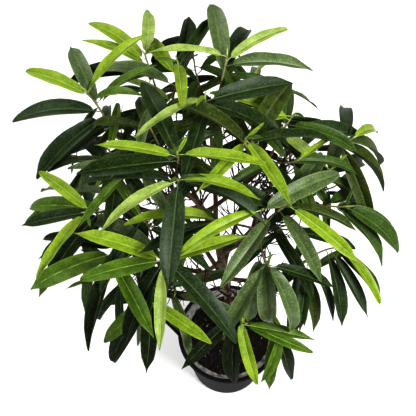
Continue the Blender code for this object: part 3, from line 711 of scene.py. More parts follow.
def in_opening(point, grow=0.0):
    """Whether a point lies in the slanted opening low in front."""
    share = (point[2] - OPENING_FOOT[2]) / (OPENING_HEAD[2] - OPENING_FOOT[2])
    if share < 0:
        return False
    middle = OPENING_FOOT + (OPENING_HEAD - OPENING_FOOT) * share
    low, high = OPENING_RADIUS
    radius = low + (high - low) * min(share, OPENING_TOP) + grow
    return math.hypot(point[0] - middle[0], point[1] - middle[1]) < radius


def bough_distance(name, tip):
    """How far a shoot's tip is from a bough's tip, and FAR more where it isn't well ahead of it."""
    bough_tip = np.array(BOUGHS[name][2])
    reach = float(np.linalg.norm(tip - bough_tip))
    ahead = (tip - bough_tip) @ unit(bough_tip - CROWN_CORE)
    return reach + FAR * bool(ahead < AHEAD_SHARE * reach or ahead < AHEAD)


def listed_shoots():
    """The shoots of the SHOOTS table: foliage, tip, lift and its leaves as (age, heading)."""
    rows = []
    for foliage, tip, lift, *headings in SHOOTS:
        leaves = [(age, heading) for age, listed in zip(AGES, headings) for heading in listed]
        rows.append((foliage, np.array(tip), lift, leaves))
    return rows


def further_shoots():
    """Shoots thrown at random into the crown, each kept where it has room, on the nearest bough."""
    draw = random.Random(SEED)
    tips = [np.array(row[1]) for row in SHOOTS]
    rows = []
    while len(rows) < MORE_SHOOTS:
        way = unit([draw.gauss(0, 1) for _ in range(3)])
        share = draw.uniform(*MORE_REACH)
        tip = CROWN_CENTRE + way * share * CROWN_REACH
        crowded = min(np.linalg.norm(other - tip) for other in tips) < SHOOT_SPACE
        foliage = min(BOUGHS, key=lambda name: bough_distance(name, tip))
        shown = way @ SHOWN_SIDE > SHOWN_FROM and (share > OUTER_REACH or draw.random() < SHOWN_SHARE)
        if crowded or shown or in_opening(tip, OPENING_SPACE) or bough_distance(foliage, tip) > FAR:
            continue
        tips.append(tip)
        ages = ["old"] * draw.choice(LEAVES)
        first = draw.uniform(0, 360)
        if draw.random() < YOUNG_SHARE:
            ages[-1] = "young"
        if draw.random() < MID_SHARE:
            ages[-2] = "mid"
        leaves = [(age, (first + GOLDEN_ANGLE * i) % 360) for i, age in enumerate(ages)]
        rows.append((foliage, tip, 0, leaves))
    return rows


rows = listed_shoots() + further_shoots()
print(len(rows), "shoots with", sum(len(row[3]) for row in rows), "leaves")

# %% Stems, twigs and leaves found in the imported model
LENGTH = {"old": (0.145, 0.170), "mid": (0.125, 0.150), "young": (0.120, 0.150)}
WIDTH = {"old": 0.180, "mid": 0.170, "young": 0.150}
DROOP = {"old": 9, "mid": 5, "young": -4}
BEND = {"old": 35, "mid": 25, "young": 15}
BEND_SHARE = (0.6, 1.3)
FOLLOW = 0.33
SPREAD = 7
TWIST = 25
STEEPEST = -72
VIGOUR = ((0.75, 0.95), (0.84, 1.0))
LEAF_TURN = 9
LEAF_STEP = 0.008
LAST_LEAF = 0.002
FIRST_LEAF = 0.3
STEM_SHARE = 0.30
STEM_PULL = 0.6
TWIG_RADIUS = 0.0030
TWIG_TIP_RADIUS = 0.0024
TWIG_ROOT = 0.0015
TWIG_PULL = 0.8
TWIG_SWING = 0.25
TWIG_SWINGS = 4
TWIG_ALONG = 0.5
TWIG_POINTS = 4
TRIES = 10
FOUND = 0.0002

corners = {}
for mass in MASSES:
    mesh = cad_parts[mass].data
    flat = np.empty(3 * len(mesh.vertices), np.float32)
    mesh.vertices.foreach_get("co", flat)
    corners[mass.removeprefix("foliage_")] = flat.reshape(-1, 3).astype(float)


def shoot_way(tip):
    """A shoot points out of the crown and up."""
    return unit(unit(tip - CROWN_CENTRE) + SHOOT_LIFT * UP)


def stem_line(name, count):
    """A foliage's stem, straight on from its bough's tip and then towards the middle of its shoots."""
    tips = [row[1] for row in rows if row[0] == name]
    line = coarse_lines[name]
    way = unit(line[-1] - line[-2])
    start = line[-1] + way * CLEAR
    middle = np.mean(tips, axis=0)
    reach = STEM_SHARE * np.linalg.norm(middle - start)
    arrive = STEM_PULL * unit(middle - start)
    return arc(start, STEM_PULL * way, start + reach * unit(way + arrive), arrive, count)


def twig_trials(number, tip, stem):
    """The twigs that a shoot may have: the straightest way to its tip first, then wider swings."""
    draw = random.Random(f"{SEED} twig {number}")
    stem_way = unit(stem[-1] - stem[-2])
    start = stem[-1] - TWIG_ROOT * stem_way
    for trial in range(TRIES):
        swing = np.array([draw.uniform(-TWIG_SWING, TWIG_SWING) for _ in range(3)]) * min(trial, TWIG_SWINGS)
        leave = unit(unit(tip - start) + TWIG_ALONG * stem_way + swing)
        yield start, TWIG_PULL * leave, tip, TWIG_PULL * shoot_way(tip)


def new_leaf(tip, base, lift, age, heading, draw):
    """A leaf that lies over the crown's round: it falls where it heads out and rises where it heads in."""
    out = tip - CROWN_CENTRE
    side = math.degrees(math.atan2(out[1], out[0]))
    height = math.degrees(math.atan2(out[2], math.hypot(out[0], out[1])))
    rise = -FOLLOW * (90 - height) * math.cos(math.radians(heading - side)) - DROOP[age]
    return {"base": base, "heading": heading, "age": age,
            "length": draw.uniform(*LENGTH[age]) * np.interp(tip[2], *VIGOUR),
            "rise": max(rise + draw.uniform(-SPREAD, SPREAD), STEEPEST) + lift,
            "bend": BEND[age] * draw.uniform(*BEND_SHARE),
            "roll": draw.uniform(-TWIST, TWIST)}


def leaf_trials(row, number, place, line):
    """The leaves that a shoot may have at one place on its twig, turned a little more each time."""
    _, tip, lift, leaves = row
    age, heading = leaves[place]
    draw = random.Random(f"{SEED} leaf {number} {place}")
    walked = distance_along(line)
    rise = walked[-1] - LAST_LEAF - LEAF_STEP * (len(leaves) - 1 - place)
    rise = max(rise, FIRST_LEAF * walked[-1])
    base = np.array([np.interp(rise, walked, line[:, axis]) for axis in range(3)])
    for trial in range(TRIES):
        turn = draw.uniform(-LEAF_TURN, LEAF_TURN) * trial / 2
        yield new_leaf(tip, base, lift, age, heading + turn, draw)


def midrib(leaf, t):
    """Points, sides and normals of a leaf's midrib: a circular arc that bends down as it goes out."""
    bend = math.radians(leaf["bend"])
    first = math.radians(leaf["rise"]) + bend / 2
    lift = first - bend * t
    heading = math.radians(leaf["heading"])
    ahead = np.array((math.cos(heading), math.sin(heading), 0.0))
    out = leaf["length"] / bend * (math.sin(first) - np.sin(lift))
    up = leaf["length"] / bend * (np.cos(lift) - math.cos(first))
    points = leaf["base"] + out[:, None] * ahead + up[:, None] * UP
    ways = np.cos(lift)[:, None] * ahead + np.sin(lift)[:, None] * UP
    level = np.array((-math.sin(heading), math.cos(heading), 0.0))
    above = np.cross(ways, level)
    roll = math.radians(leaf["roll"])
    sides = level * math.cos(roll) + above * math.sin(roll)
    return points, sides, np.cross(ways, sides)


def corners_at(name, point, distance):
    """How many corners of a foliage's solid lie at a distance from a point."""
    gap = np.linalg.norm(corners[name] - point, axis=1)
    return int((abs(gap - distance) < FOUND).sum())


def find_twig(number, row, stem):
    """The trial whose two middle rings the solid has most corners of."""
    radii = np.linspace(TWIG_RADIUS, TWIG_TIP_RADIUS, TWIG_POINTS)
    best, most = None, 0
    for ends in twig_trials(number, row[1], stem):
        line = arc(*ends, TWIG_POINTS)
        met = sum(corners_at(row[0], line[i], radii[i]) for i in range(1, TWIG_POINTS - 1))
        if met > most:
            best, most = ends, met
    return best


def find_leaves(number, row, line):
    """Each leaf of a shoot whose tip the solid has."""
    found = []
    for place in range(len(row[3])):
        for leaf in leaf_trials(row, number, place, line):
            if corners_at(row[0], midrib(leaf, np.array((1.0,)))[0][0], 0.0):
                leaf["listed"] = row[3][place][1]
                found.append(leaf)
                break
    return found


stems = {name: stem_line(name, TWIG_POINTS) for name in BOUGHS}
for name, stem in stems.items():
    bough_way = unit(coarse_lines[name][-1] - coarse_lines[name][-2])
    stem[1] = stem[0] + bough_way * np.linalg.norm(stem[1] - stem[0])
shoots = []
for number, row in enumerate(rows):
    ends = find_twig(number, row, stems[row[0]])
    if ends is not None:
        grown = find_leaves(number, row, arc(*ends, TWIG_POINTS))
        shoots.append({"number": number, "foliage": row[0], "tip": row[1], "ends": ends, "leaves": grown})
print(len(shoots), "shoots found, with", sum(len(shoot["leaves"]) for shoot in shoots), "leaves")

# %% [markdown]
# ## The bark
# An alii ficus has smooth grey-brown bark with low ridges, corky pores and a ring at each old leaf
# scar. A tube along each limb's line gets that relief in its radius: a sum of cosines with a whole
# number of crests round, so that the seam closes, and a hump at each scar. RIDGES and PORES give
# how many cosines there are, their crests round, and how they turn along the limb, in radians a
# metre. A bough swells into a collar where it leaves its parent, and the trunk's foot spreads in a
# few lobes.

# %% Bark with real relief
FLARE = 0.75
FLARE_HEIGHT = 0.035
TRUNK_SIDES = 36
BOUGH_SIDES = 18
RIDGES = (7, (2, 8), (-60, 60))
PORES = (8, (0, 9), (400, 1100))
FIRST_SCAR = (0.3, 1.0)
SCAR_STEPS = (0.5, 1.5)
SCAR_HEIGHT = (0.05, 0.10)
SCAR_TILT = 0.002
SCAR_WIDTH = 0.0016
LOBE_HEIGHT = 0.16
TRUNK_SINK = 0.004
TRUNK_BARK = (0.008, 0.004, 0.045)
BOUGH_BARK = (0.010, 0.006, 0.022)
COLLAR = 0.45
COLLAR_PLACE = 0.6
COLLAR_LENGTH = 0.010
BARK = (74, 58, 44), (118, 99, 78)


def bark_relief(far, sides, ridge, pores, scar_step):
    """Relief as a share of the radius: ridges along the limb, fine pores, and humps at the scars."""
    angle = round_angles(sides)
    reach = far[:, None]
    relief = np.zeros((len(far), sides))
    for size, (count, crests, slants) in ((ridge, RIDGES), (pores, PORES)):
        for _ in range(count):
            crest, phase = rng.integers(*crests), rng.uniform(0, 2 * math.pi)
            relief += size * np.cos(crest * angle + rng.uniform(*slants) * reach + phase)
    scar = far[0] + rng.uniform(*FIRST_SCAR) * scar_step
    while scar < far[-1]:
        tilt = SCAR_TILT * np.cos(angle + rng.uniform(0, 2 * math.pi))
        relief += rng.uniform(*SCAR_HEIGHT) * np.exp(-((reach + tilt - scar) / SCAR_WIDTH) ** 2)
        scar += rng.uniform(*SCAR_STEPS) * scar_step
    return relief


def trunk_shape():
    """The trunk: its tapering radius times the flare, its lobes and the relief."""
    line = fine_lines["trunk"]
    far = distance_along(line)
    radii = np.interp(far, (0.0, far[-1]), (TRUNK_RADIUS, TRUNK_TIP_RADIUS))
    low = np.exp(-(far / FLARE_HEIGHT) ** 2)
    angle = round_angles(TRUNK_SIDES)
    lobes = LOBE_HEIGHT * low[:, None] * (np.cos(3 * angle + 0.6) + 0.6 * np.cos(5 * angle + 2.0))
    spread = radii[:, None] * (1 + FLARE * low[:, None] + lobes)
    rings = tube_rings(line, spread * (1 + bark_relief(far, TRUNK_SIDES, *TRUNK_BARK)), TRUNK_SIDES)
    rings[0, :, 2] = TRUNK_FOOT[2] - TRUNK_SINK
    return closed_shape(rings)


def bough_shape(name):
    """A bough: its tapering radius times a collar where it leaves its parent, and the relief."""
    line = fine_lines[name]
    far = distance_along(line)
    parent = BOUGHS[name][0]
    edge = TRUNK_RADIUS if parent == "trunk" else BOUGHS[parent][3]
    radii = np.interp(far, (0.0, far[-1]), (BOUGHS[name][3], BOUGH_TIP_RADIUS))
    collar = 1 + COLLAR * np.exp(-((far - COLLAR_PLACE * edge) / COLLAR_LENGTH) ** 2)
    relief = bark_relief(far, BOUGH_SIDES, *BOUGH_BARK)
    return tube_shape(line, (radii * collar)[:, None] * (1 + relief), BOUGH_SIDES)


bark_paint = finish_material("bark", BARK, 90.0, (0.75, 0.95), 0.0006, 0.45, 0.25)
bark = make_piece("bark", [trunk_shape()] + [bough_shape(name) for name in BOUGHS], [bark_paint])
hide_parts(*LIMBS)

# %% [markdown]
# ## Twigs
# A stem goes on from each bough, and thin twigs fork from it. Their bark is brown where they are
# old and green and tan near the leaves, with a small swelling under each leaf. The crown's inside
# also has a web of fine bare twigs that have lost their leaves. Each is a tapering tube.

# %% Stems and leafy twigs
STEM_SKIN = (0.0028, 0.0024)
TWIG_SKIN = (0.0021, 0.0013)
GREEN_FROM = 0.62
KNOT = 0.40
KNOT_LENGTH = 0.0013
MOST_SWELL = 1.5
OLD_KNOTS = slice(6, 34, 7)
STEM_POINTS = 20
STEM_SIDES = 10
STEM_BARK = (0.01, 0.008, 0.01)
STEM_SINK = 0.004
TWIG_SKIN_POINTS = 60
TWIG_SIDES = 7
GREEN_SHARE = 0.98
TWIG_BROWN = (66, 50, 36), (104, 84, 60)
TWIG_GREEN = (118, 116, 72), (150, 146, 96)


def knotted(line, radii, knots):
    """Radii that swell at each knot: radius * (1 + KNOT * exp(-(distance / KNOT_LENGTH) squared))."""
    swell = np.ones(len(line))
    for knot in knots:
        gap = np.linalg.norm(line - knot, axis=1)
        swell += KNOT * np.exp(-(gap / KNOT_LENGTH) ** 2)
    return radii * np.minimum(swell, MOST_SWELL)


stem_shapes, green_shapes = [], []
for name in BOUGHS:
    line = stem_line(name, STEM_POINTS)
    line[0] -= STEM_SINK * unit(line[1] - line[0])
    relief = bark_relief(distance_along(line), STEM_SIDES, *STEM_BARK)
    radii = np.linspace(*STEM_SKIN, len(line))[:, None] * (1 + relief)
    stem_shapes.append(tube_shape(line, radii, STEM_SIDES))
for shoot in shoots:
    line = arc(*shoot["ends"], TWIG_SKIN_POINTS)
    knots = [leaf["base"] for leaf in shoot["leaves"]] + list(line[OLD_KNOTS])
    radii = knotted(line, np.linspace(*TWIG_SKIN, len(line)), knots)
    turn = int(GREEN_FROM * len(line))
    stem_shapes.append(tube_shape(line[:turn + 1], radii[:turn + 1], TWIG_SIDES))
    green_shapes.append(tube_shape(line[turn:], radii[turn:] * GREEN_SHARE, TWIG_SIDES))
twig_paint = finish_material("twig bark", TWIG_BROWN, 200.0, (0.75, 0.95), 0.0003, 0.5, 0.25)
green_paint = finish_material("green twig", TWIG_GREEN, 200.0, (0.5, 0.7), 0.0002, 0.5, 0.4)
twigs = make_piece("twigs", stem_shapes, [twig_paint])
green_twigs = make_piece("green_twigs", green_shapes, [green_paint])

# %% Fine bare twigs inside the crown
FINE_TWIGS = 11
FINE_LENGTH = (0.045, 0.11)
FINE_RADIUS = 0.0018
FINE_FORKS = 2
FINE_POINTS = 12
FINE_SIDES = 5
FINE_PULL = 0.8
FINE_RISE = 0.35
FINE_TIP_RISE = 0.8
FINE_SWAY = 0.25
FINE_TAPER = 0.45
FINE_FROM = (0.35, 0.98)
FINE_ASIDE = 0.9
FINE_INWARD = 0.3
UNEVEN = (0.9, 1.15)
SIDE_PLACES = (3, 11)
SIDE_TURN = 0.7
SIDE_LENGTH = (0.35, 0.6)
SIDE_RADIUS = 0.7
DRY_BROWN = (44, 32, 24), (72, 55, 42)
fine_shapes = []


def bare_twig(start, way, length, radius, forks):
    """A thin twig that bends upwards, with shorter side twigs at random places."""
    end = start + length * unit(way + FINE_RISE * UP)
    arrive = FINE_PULL * unit(way + FINE_TIP_RISE * UP + rng.normal(0, FINE_SWAY, 3))
    line = arc(start, FINE_PULL * unit(way), end, arrive, FINE_POINTS)
    radii = np.linspace(radius, FINE_TAPER * radius, FINE_POINTS) * rng.uniform(*UNEVEN, FINE_POINTS)
    fine_shapes.append(tube_shape(line, radii, FINE_SIDES))
    for _ in range(forks):
        place = rng.integers(*SIDE_PLACES)
        aside = unit(np.cross(unit(way), rng.normal(0, 1, 3)))
        leave = unit(SIDE_TURN * unit(way) + SIDE_TURN * aside)
        bare_twig(line[place], leave, length * rng.uniform(*SIDE_LENGTH), SIDE_RADIUS * radius, forks - 1)


for name in BOUGHS:
    line = fine_lines[name]
    for _ in range(FINE_TWIGS):
        place = int(rng.uniform(*FINE_FROM) * (len(line) - 2))
        limb_way = unit(line[place + 1] - line[place])
        aside = unit(np.cross(limb_way, rng.normal(0, 1, 3)))
        inward = unit(CROWN_CENTRE - line[place])
        leave = unit(limb_way + FINE_ASIDE * aside + FINE_INWARD * inward)
        bare_twig(line[place], leave, rng.uniform(*FINE_LENGTH), FINE_RADIUS, FINE_FORKS)
fine_paint = finish_material("dry twig", DRY_BROWN, 200.0, (0.8, 0.95), 0.0002, 0.5, 0.1)
fine_twigs = make_piece("fine_twigs", fine_shapes, [fine_paint])
for piece in (twigs, green_twigs, fine_twigs):
    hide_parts(*MASSES)

# %% [markdown]
# ## Leaves
# A leaf is a long strap that is broadest over most of its length, folded along its midrib, with a
# short stalk and often a fine drip tip. Its blade is a closed skin of fifteen rings of four corners:
# two edges, and the midrib's upper and lower side. A warped quad is drawn as two triangles, so both
# skins are split along the same diagonal, or the lower one would show through. Half its width is
# the length's share of a sine, flattened by a power; its fold, arch, twist, waves and sideways curve
# differ from leaf to leaf. The paler midrib and stalk are one thin tube along it.

# %% One leaf's blade and rib
STALK = 0.085
BLADE_STATIONS = np.array((0.0, 0.025, 0.06, 0.11, 0.18, 0.27, 0.37, 0.47, 0.57, 0.67, 0.76, 0.84, 0.91, 0.96,
                           0.988))
ACROSS = np.array((1.0, 0.0, -1.0, 0.0))
TOP_SIDE = np.array((0.0, 1.0, 0.0, -1.0))
BLADE_WIDTH = (0.95, 1.18)
INNER_SCALE = (0.85, 0.75)
BLADE_HALF_THICK = 0.00035
RIB_RADII = (0.00120, 0.00088, 0.00062, 0.00018)
RIB_PLACES = (0.0, 0.10, 0.60, 1.0)
RIB_LIFT = 0.0003
FULL_LENGTH = 0.16
BLADE_FACES = stack_faces(len(BLADE_STATIONS), len(ACROSS))
LOWER_QUADS = np.arange(len(BLADE_FACES[0])) % len(ACROSS) >= 2
BLADE_FACES[0][LOWER_QUADS] = np.roll(BLADE_FACES[0][LOWER_QUADS], 1, axis=1)
UNDERSIDE = np.concatenate([np.arange(len(group)) % len(ACROSS) >= 2 for group in BLADE_FACES])
CREASE = math.radians(22)
FOLD = (0.36, 0.80)
DRIPS = (0.0, 0.35, 0.7, 0.85)
CHARACTER = {"full": (0.36, 0.54), "wave": (0.0003, 0.0014), "phase": (0, 2 * math.pi), "crests": (1.2, 2.8),
             "sickle": (-0.035, 0.035), "arch": (0.0, 0.07), "twist": (-28, 28)}
PINCH_FROM = 0.72
PINCH_LENGTH = 0.28
BROAD = 0.85
NARROWEST = 0.04
FOOT_LENGTH = 0.0005
TWIST_MIDDLE = 0.3
RIB_SIDES = 4


def drawn(ranges, draw):
    """A value from each range, drawn in their order."""
    return {name: draw.uniform(*span) for name, span in ranges.items()}


def give_character(leaf, draw):
    """What makes each leaf its own: fold, tip, arch, twist and waves, drawn at random."""
    leaf["fold"] = draw.uniform(*FOLD)
    leaf["drip"] = draw.choice(DRIPS)
    leaf.update(drawn(CHARACTER, draw))
    leaf["twist"] = math.radians(leaf["twist"])
    leaf["width"] = draw.uniform(*BLADE_WIDTH) * WIDTH[leaf["age"]]
    if leaf["inner"]:
        leaf["length"] *= INNER_SCALE[0]
        leaf["width"] *= INNER_SCALE[1]
    return leaf


def half_width(leaf, share):
    """Half the blade's width: the sine of pi * share^BROAD to a power, pinched towards a drip tip."""
    ease = np.clip((share - PINCH_FROM) / PINCH_LENGTH, 0.0, 1.0)
    pinch = 1 - leaf["drip"] * ease**2 * (3 - 2 * ease)
    full = np.sin(math.pi * share**BROAD) ** leaf["full"]
    return leaf["width"] * leaf["length"] / 2 * np.maximum(full * pinch, NARROWEST)


def bent_midrib(leaf, t):
    """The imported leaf's midrib with its own bow: sine-shaped, sideways and up, and a slow twist."""
    points, sides, normals = midrib(leaf, t)
    bow = leaf["length"] * np.sin(math.pi * t)[:, None]
    points = points + bow * (leaf["sickle"] * sides + leaf["arch"] * normals)
    turn = (leaf["twist"] * (t - TWIST_MIDDLE))[:, None]
    cos, sin = np.cos(turn), np.sin(turn)
    return points, sides * cos + normals * sin, normals * cos - sides * sin


def blade_shape(leaf):
    """Rings of four corners: the edges rise by the fold's share of half the width, and wave."""
    share = BLADE_STATIONS
    t = STALK + (1 - STALK) * share
    points, sides, normals = bent_midrib(leaf, np.append(t, 1.0))
    half = half_width(leaf, share)[:, None]
    wave = leaf["wave"] * np.sin(2 * math.pi * leaf["crests"] * share + leaf["phase"])[:, None]
    rise = half * leaf["fold"] * abs(ACROSS) + wave * ACROSS + BLADE_HALF_THICK * TOP_SIDE
    rings = (points[:-1, None] + (half * ACROSS)[:, :, None] * sides[:-1, None]
             + rise[:, :, None] * normals[:-1, None])
    foot = points[0] - FOOT_LENGTH * unit(points[1] - points[0])
    return closed_shape(rings, foot, points[-1])[0], BLADE_FACES


def rib_shape(leaf):
    """The stalk and midrib: a four-sided tube from the twig along every other station of the blade."""
    t = np.concatenate([(0.0, STALK / 2), STALK + (1 - STALK) * BLADE_STATIONS[::2]])
    points, _, normals = bent_midrib(leaf, t)
    thickness = np.interp(t, RIB_PLACES, RIB_RADII) * (leaf["length"] / FULL_LENGTH)
    return tube_shape(points + RIB_LIFT * normals, thickness, RIB_SIDES)


print("a blade has", sum(len(group) for group in BLADE_FACES), "faces")

# %% [markdown]
# Real leaves lie past each other and not through each other. Each leaf draws a character of its own
# until its blade crosses no neighbour and no limb, and the best of its trials is kept. Two leaves at
# the crown's top stand more upright than their packed ones, and one lies lower.

# %% Shape each leaf clear of its neighbours
SHAPE_TRIES = 16
NEAR = 0.16
RAISED = {(2, 97): 19, (1, 86): 17, (1, 78): -22}
SWINGS = {"heading": 1.3, "rise": 1.0, "roll": 2.5}
MOST_SWINGS = 8
SHORTER = (0.0, 0.012)
BLADE_FACE_LIST = [tuple(face) for group in BLADE_FACES for face in group.tolist()]


def altered(leaf, draw, trial):
    """The leaf with a character of its own, turned and lifted a little more with each further trial."""
    leaf = give_character(dict(leaf), draw)
    swing = min(trial, MOST_SWINGS)
    for name, most in SWINGS.items():
        leaf[name] += draw.uniform(-most, most) * swing
    leaf["length"] *= 1 - draw.uniform(*SHORTER) * swing
    return leaf


def clearest(leaf, draw, others):
    """The trial whose blade crosses the fewest faces of the others."""
    best, least = None, math.inf
    for trial in range(SHAPE_TRIES):
        candidate = altered(leaf, draw, trial)
        shape = blade_shape(candidate)
        tree = BVHTree.FromPolygons(shape[0].tolist(), BLADE_FACE_LIST)
        crossed = sum(len(tree.overlap(other)) for other in others)
        if crossed < least:
            best, least = (candidate, shape, tree), crossed
        if crossed == 0:
            break
    return best, least


graph = bpy.context.evaluated_depsgraph_get()
limb_trees = [BVHTree.FromObject(piece, graph) for piece in (bark, twigs, green_twigs)]
middles, blade_trees, still_crossed = [], [], 0


def neighbours(point):
    """The blades shaped so far whose middles are near a point."""
    return [tree for place, tree in zip(middles, blade_trees) if math.dist(place, point) < NEAR]


for shoot in shoots:
    for i, leaf in enumerate(shoot["leaves"]):
        draw = random.Random(f"{SEED} shape {shoot['number']} {i}")
        leaf["inner"] = shoot["number"] >= len(SHOOTS)
        leaf["rise"] += RAISED.get((shoot["number"], leaf["listed"]), 0)
        middle = midrib(leaf, np.array((0.5,)))[0][0]
        (leaf, shape, tree), crossed = clearest(leaf, draw, neighbours(middle) + limb_trees)
        shoot["leaves"][i] = leaf
        leaf["shape"] = shape
        middles.append(middle)
        blade_trees.append(tree)
        still_crossed += crossed > 0
print(len(middles), "leaves shaped, of which", still_crossed, "still touch something")

# %% [markdown]
# The leaves' colour goes by their age and their shoot. Old leaves are deep green, cooler, more olive
# or greyer from shoot to shoot, and young ones lime. Part of this is painted light: shoots low in the
# crown get the deepest greens as painted shade, the grey paint is a painted sheen, and the listed
# shoots' and single leaves' paints were made lighter and darker so that they match the light, shade
# and sheen that each leaf shows. A few leaves differ from the rest of their shoot.

# %% Deal out the leaves by age and shade
LEAF_PAINTS = {
    "deep": ((8, 15, 2), (18, 30, 4), 0.07),
    "dark": ((19, 32, 5), (32, 50, 10), 0.11),
    "cool": ((22, 37, 13), (37, 55, 22), 0.18),
    "olive": ((38, 49, 10), (55, 68, 18), 0.12),
    "green": ((40, 60, 12), (57, 80, 22), 0.2),
    # grey is a painted sheen: a grey-green base colour that stands in for the leaves' satin reflection.
    "grey": ((60, 77, 38), (82, 99, 56), 0.34),
    "mid": ((60, 86, 12), (84, 112, 28), 0.2),
    "lime": ((98, 124, 18), (130, 152, 38), 0.2),
    "fresh": ((118, 138, 60), (148, 165, 90), 0.2),
}
OLD_PAINTS = ("deep", "dark", "cool", "olive", "green", "grey")
OLD_SHADES = ("dark", "dark", "cool", "olive", "green", "green", "grey")
# Low shoots lie in the crown's shade: their deep and dark greens are painted shade.
LOW_PAINTED_SHADE = ("deep", "deep", "dark", "cool", "olive")
YOUNG_SHADES = ("lime", "lime", "lime", "fresh", "mid")
PAINTED_SHADE_BELOW = 0.80
# These paints are partly each leaf's own tone and partly painted light: lighter and darker paints match the
# light, shade and sheen that each leaf shows.
LISTED_SHADES = (
    "deep", "dark", "cool", "dark", "grey", "cool", "dark", "cool", "olive", "cool", "deep", "deep", "grey",
    "deep", "dark", "olive", "grey", "grey", "olive", "olive", "green", "cool", "olive", "deep", "deep",
)
ODD_SHADES = {
    0: {92: "fresh"}, 1: {60: "dark", 78: "dark", 120: "lime", 165: "grey"},
    2: {5: "grey", 33: "fresh", 97: "grey", 186: "fresh"}, 3: {20: "cool", 208: "fresh"},
    4: {180: "cool"}, 7: {217: "fresh"}, 8: {15: "dark"}, 9: {82: "green", 350: "green"},
    10: {165: "mid", 180: "dark"}, 11: {187: "mid"}, 12: {225: "deep", 268: "fresh", 315: "cool"},
    14: {185: "lime", 205: "dark"}, 15: {20: "grey", 150: "olive"},
    16: {170: "dark", 305: "grey", 350: "olive"}, 17: {232: "grey", 355: "dark"}, 18: {85: "cool"},
    19: {140: "fresh"}, 22: {215: "dark", 262: "dark", 300: "cool"}, 23: {5: "mid", 350: "mid"},
}
dealt = {name: [] for name in LEAF_PAINTS}


def shade_of(age, tip, draw):
    """A further shoot's shade for one age: low shoots get the deepest greens as painted shade, and the rest
    vary.
    """
    if age == "mid":
        return "mid"
    if age == "young":
        return draw.choice(YOUNG_SHADES)
    return draw.choice(LOW_PAINTED_SHADE if tip[2] < PAINTED_SHADE_BELOW else OLD_SHADES)


for shoot in shoots:
    number = shoot["number"]
    draw = random.Random(f"{SEED} shade {number}")
    shades = {age: shade_of(age, shoot["tip"], draw) for age in AGES}
    if number < len(SHOOTS):
        shades["old"], shades["young"] = LISTED_SHADES[number], "lime"
    for leaf in shoot["leaves"]:
        leaf["paint"] = ODD_SHADES.get(number, {}).get(leaf["listed"], shades[leaf["age"]])
        dealt[leaf["paint"]].append(leaf)
print({name: len(leaves) for name, leaves in dealt.items()})

# %% Unfolding leaves at the tips
LEAFLETS = (0, 1, 1, 2)
INNER_LEAFLETS = (0, 0, 1)
LEAFLET_SHADES = ("lime", "mid", "green")
INNER_LEAFLET_SHADES = ("mid", "green")
LEAFLET_RANGES = {"heading": (0, 360), "length": (0.018, 0.048), "rise": (5, 60), "bend": (2, 40),
                  "roll": (-25, 25)}
leaflets = []
for shoot in shoots:
    draw = random.Random(f"{SEED} leaflet {shoot['number']}")
    inner = shoot["number"] >= len(SHOOTS)
    for i in range(draw.choice(INNER_LEAFLETS if inner else LEAFLETS)):
        leaf = {"base": shoot["tip"], "age": "young", "inner": inner, **drawn(LEAFLET_RANGES, draw)}
        (leaf, shape, _), _ = clearest(leaf, draw, neighbours(leaf["base"]))
        leaf["shape"] = shape
        leaflets.append(leaf)
        leaf["paint"] = draw.choice(INNER_LEAFLET_SHADES if inner else LEAFLET_SHADES)
        dealt[leaf["paint"]].append(leaf)
print(len(leaflets), "small leaves are unfolding")


# %% [markdown]
# A leaf's skin has a paler midrib, a paler margin that is partly the leaf's own and partly painted
# highlight where light catches the edge, fine side veins that slant forwards, and paler specks.
# The veins' places come from the UV map, so that they follow each leaf. The height that they and the
# swell of each half give goes to the bump, which catches the light along the leaf.


# %% The vein pattern
VEIN_SPACING = 0.0034
VEIN_SLANT = -0.008
VEIN_SHARPNESS = 3.0
BANDS = {"Midrib": (0.16, 0.02), "Margin": (0.82, 0.98)}
# Margin: a pale edge that is partly painted highlight.
LEAF_MARKS = {"Speckle": 0.42, "Veins": 0.14, "Midrib": 0.42, "Margin": 0.28}
SPECKLE_BAND = (0.50, 0.68)
HEIGHTS = {"Veins": 0.35, "Swell": 20.0}
SKIN_SCALE = 55.0
SKIN_RELIEF = 0.0002


def vein_group():
    """A group that gives masks of the side veins, the midrib and the margin from the leaf's UV map,
    and the swell of each half: U * (1 - U), which is highest midway between midrib and edge.

    U is the share of the way from the midrib to either edge, and V is the distance along in metres.
    """
    group, given = new_group("leaf veins", {"Spacing": VEIN_SPACING})
    place = add_node(group, "UVMap", uv_map=PATTERN_MAP).outputs["UV"]
    parts = add_node(group, "SeparateXYZ", {"Vector": place}).outputs
    across = calculate(group, "ABSOLUTE", parts["X"])
    slanted = calculate(group, "MULTIPLY_ADD", across, VEIN_SLANT, parts["Y"])
    turns = calculate(group, "DIVIDE", slanted, given["Spacing"])
    crest = calculate(group, "SINE", calculate(group, "MULTIPLY", turns, 2 * math.pi))
    ridge = calculate(group, "POWER", calculate(group, "MULTIPLY_ADD", crest, 0.5, 0.5), VEIN_SHARPNESS)
    bands = {name: map_range(group, across, band, interpolation_type="SMOOTHSTEP")
             for name, band in BANDS.items()}
    swell = calculate(group, "MULTIPLY", across, calculate(group, "SUBTRACT", 1.0, across))
    give_out(group, {"Veins": ridge, **bands, "Swell": swell})
    return group


VEINS = vein_group()
print("the vein group has", len(VEINS.nodes), "nodes")


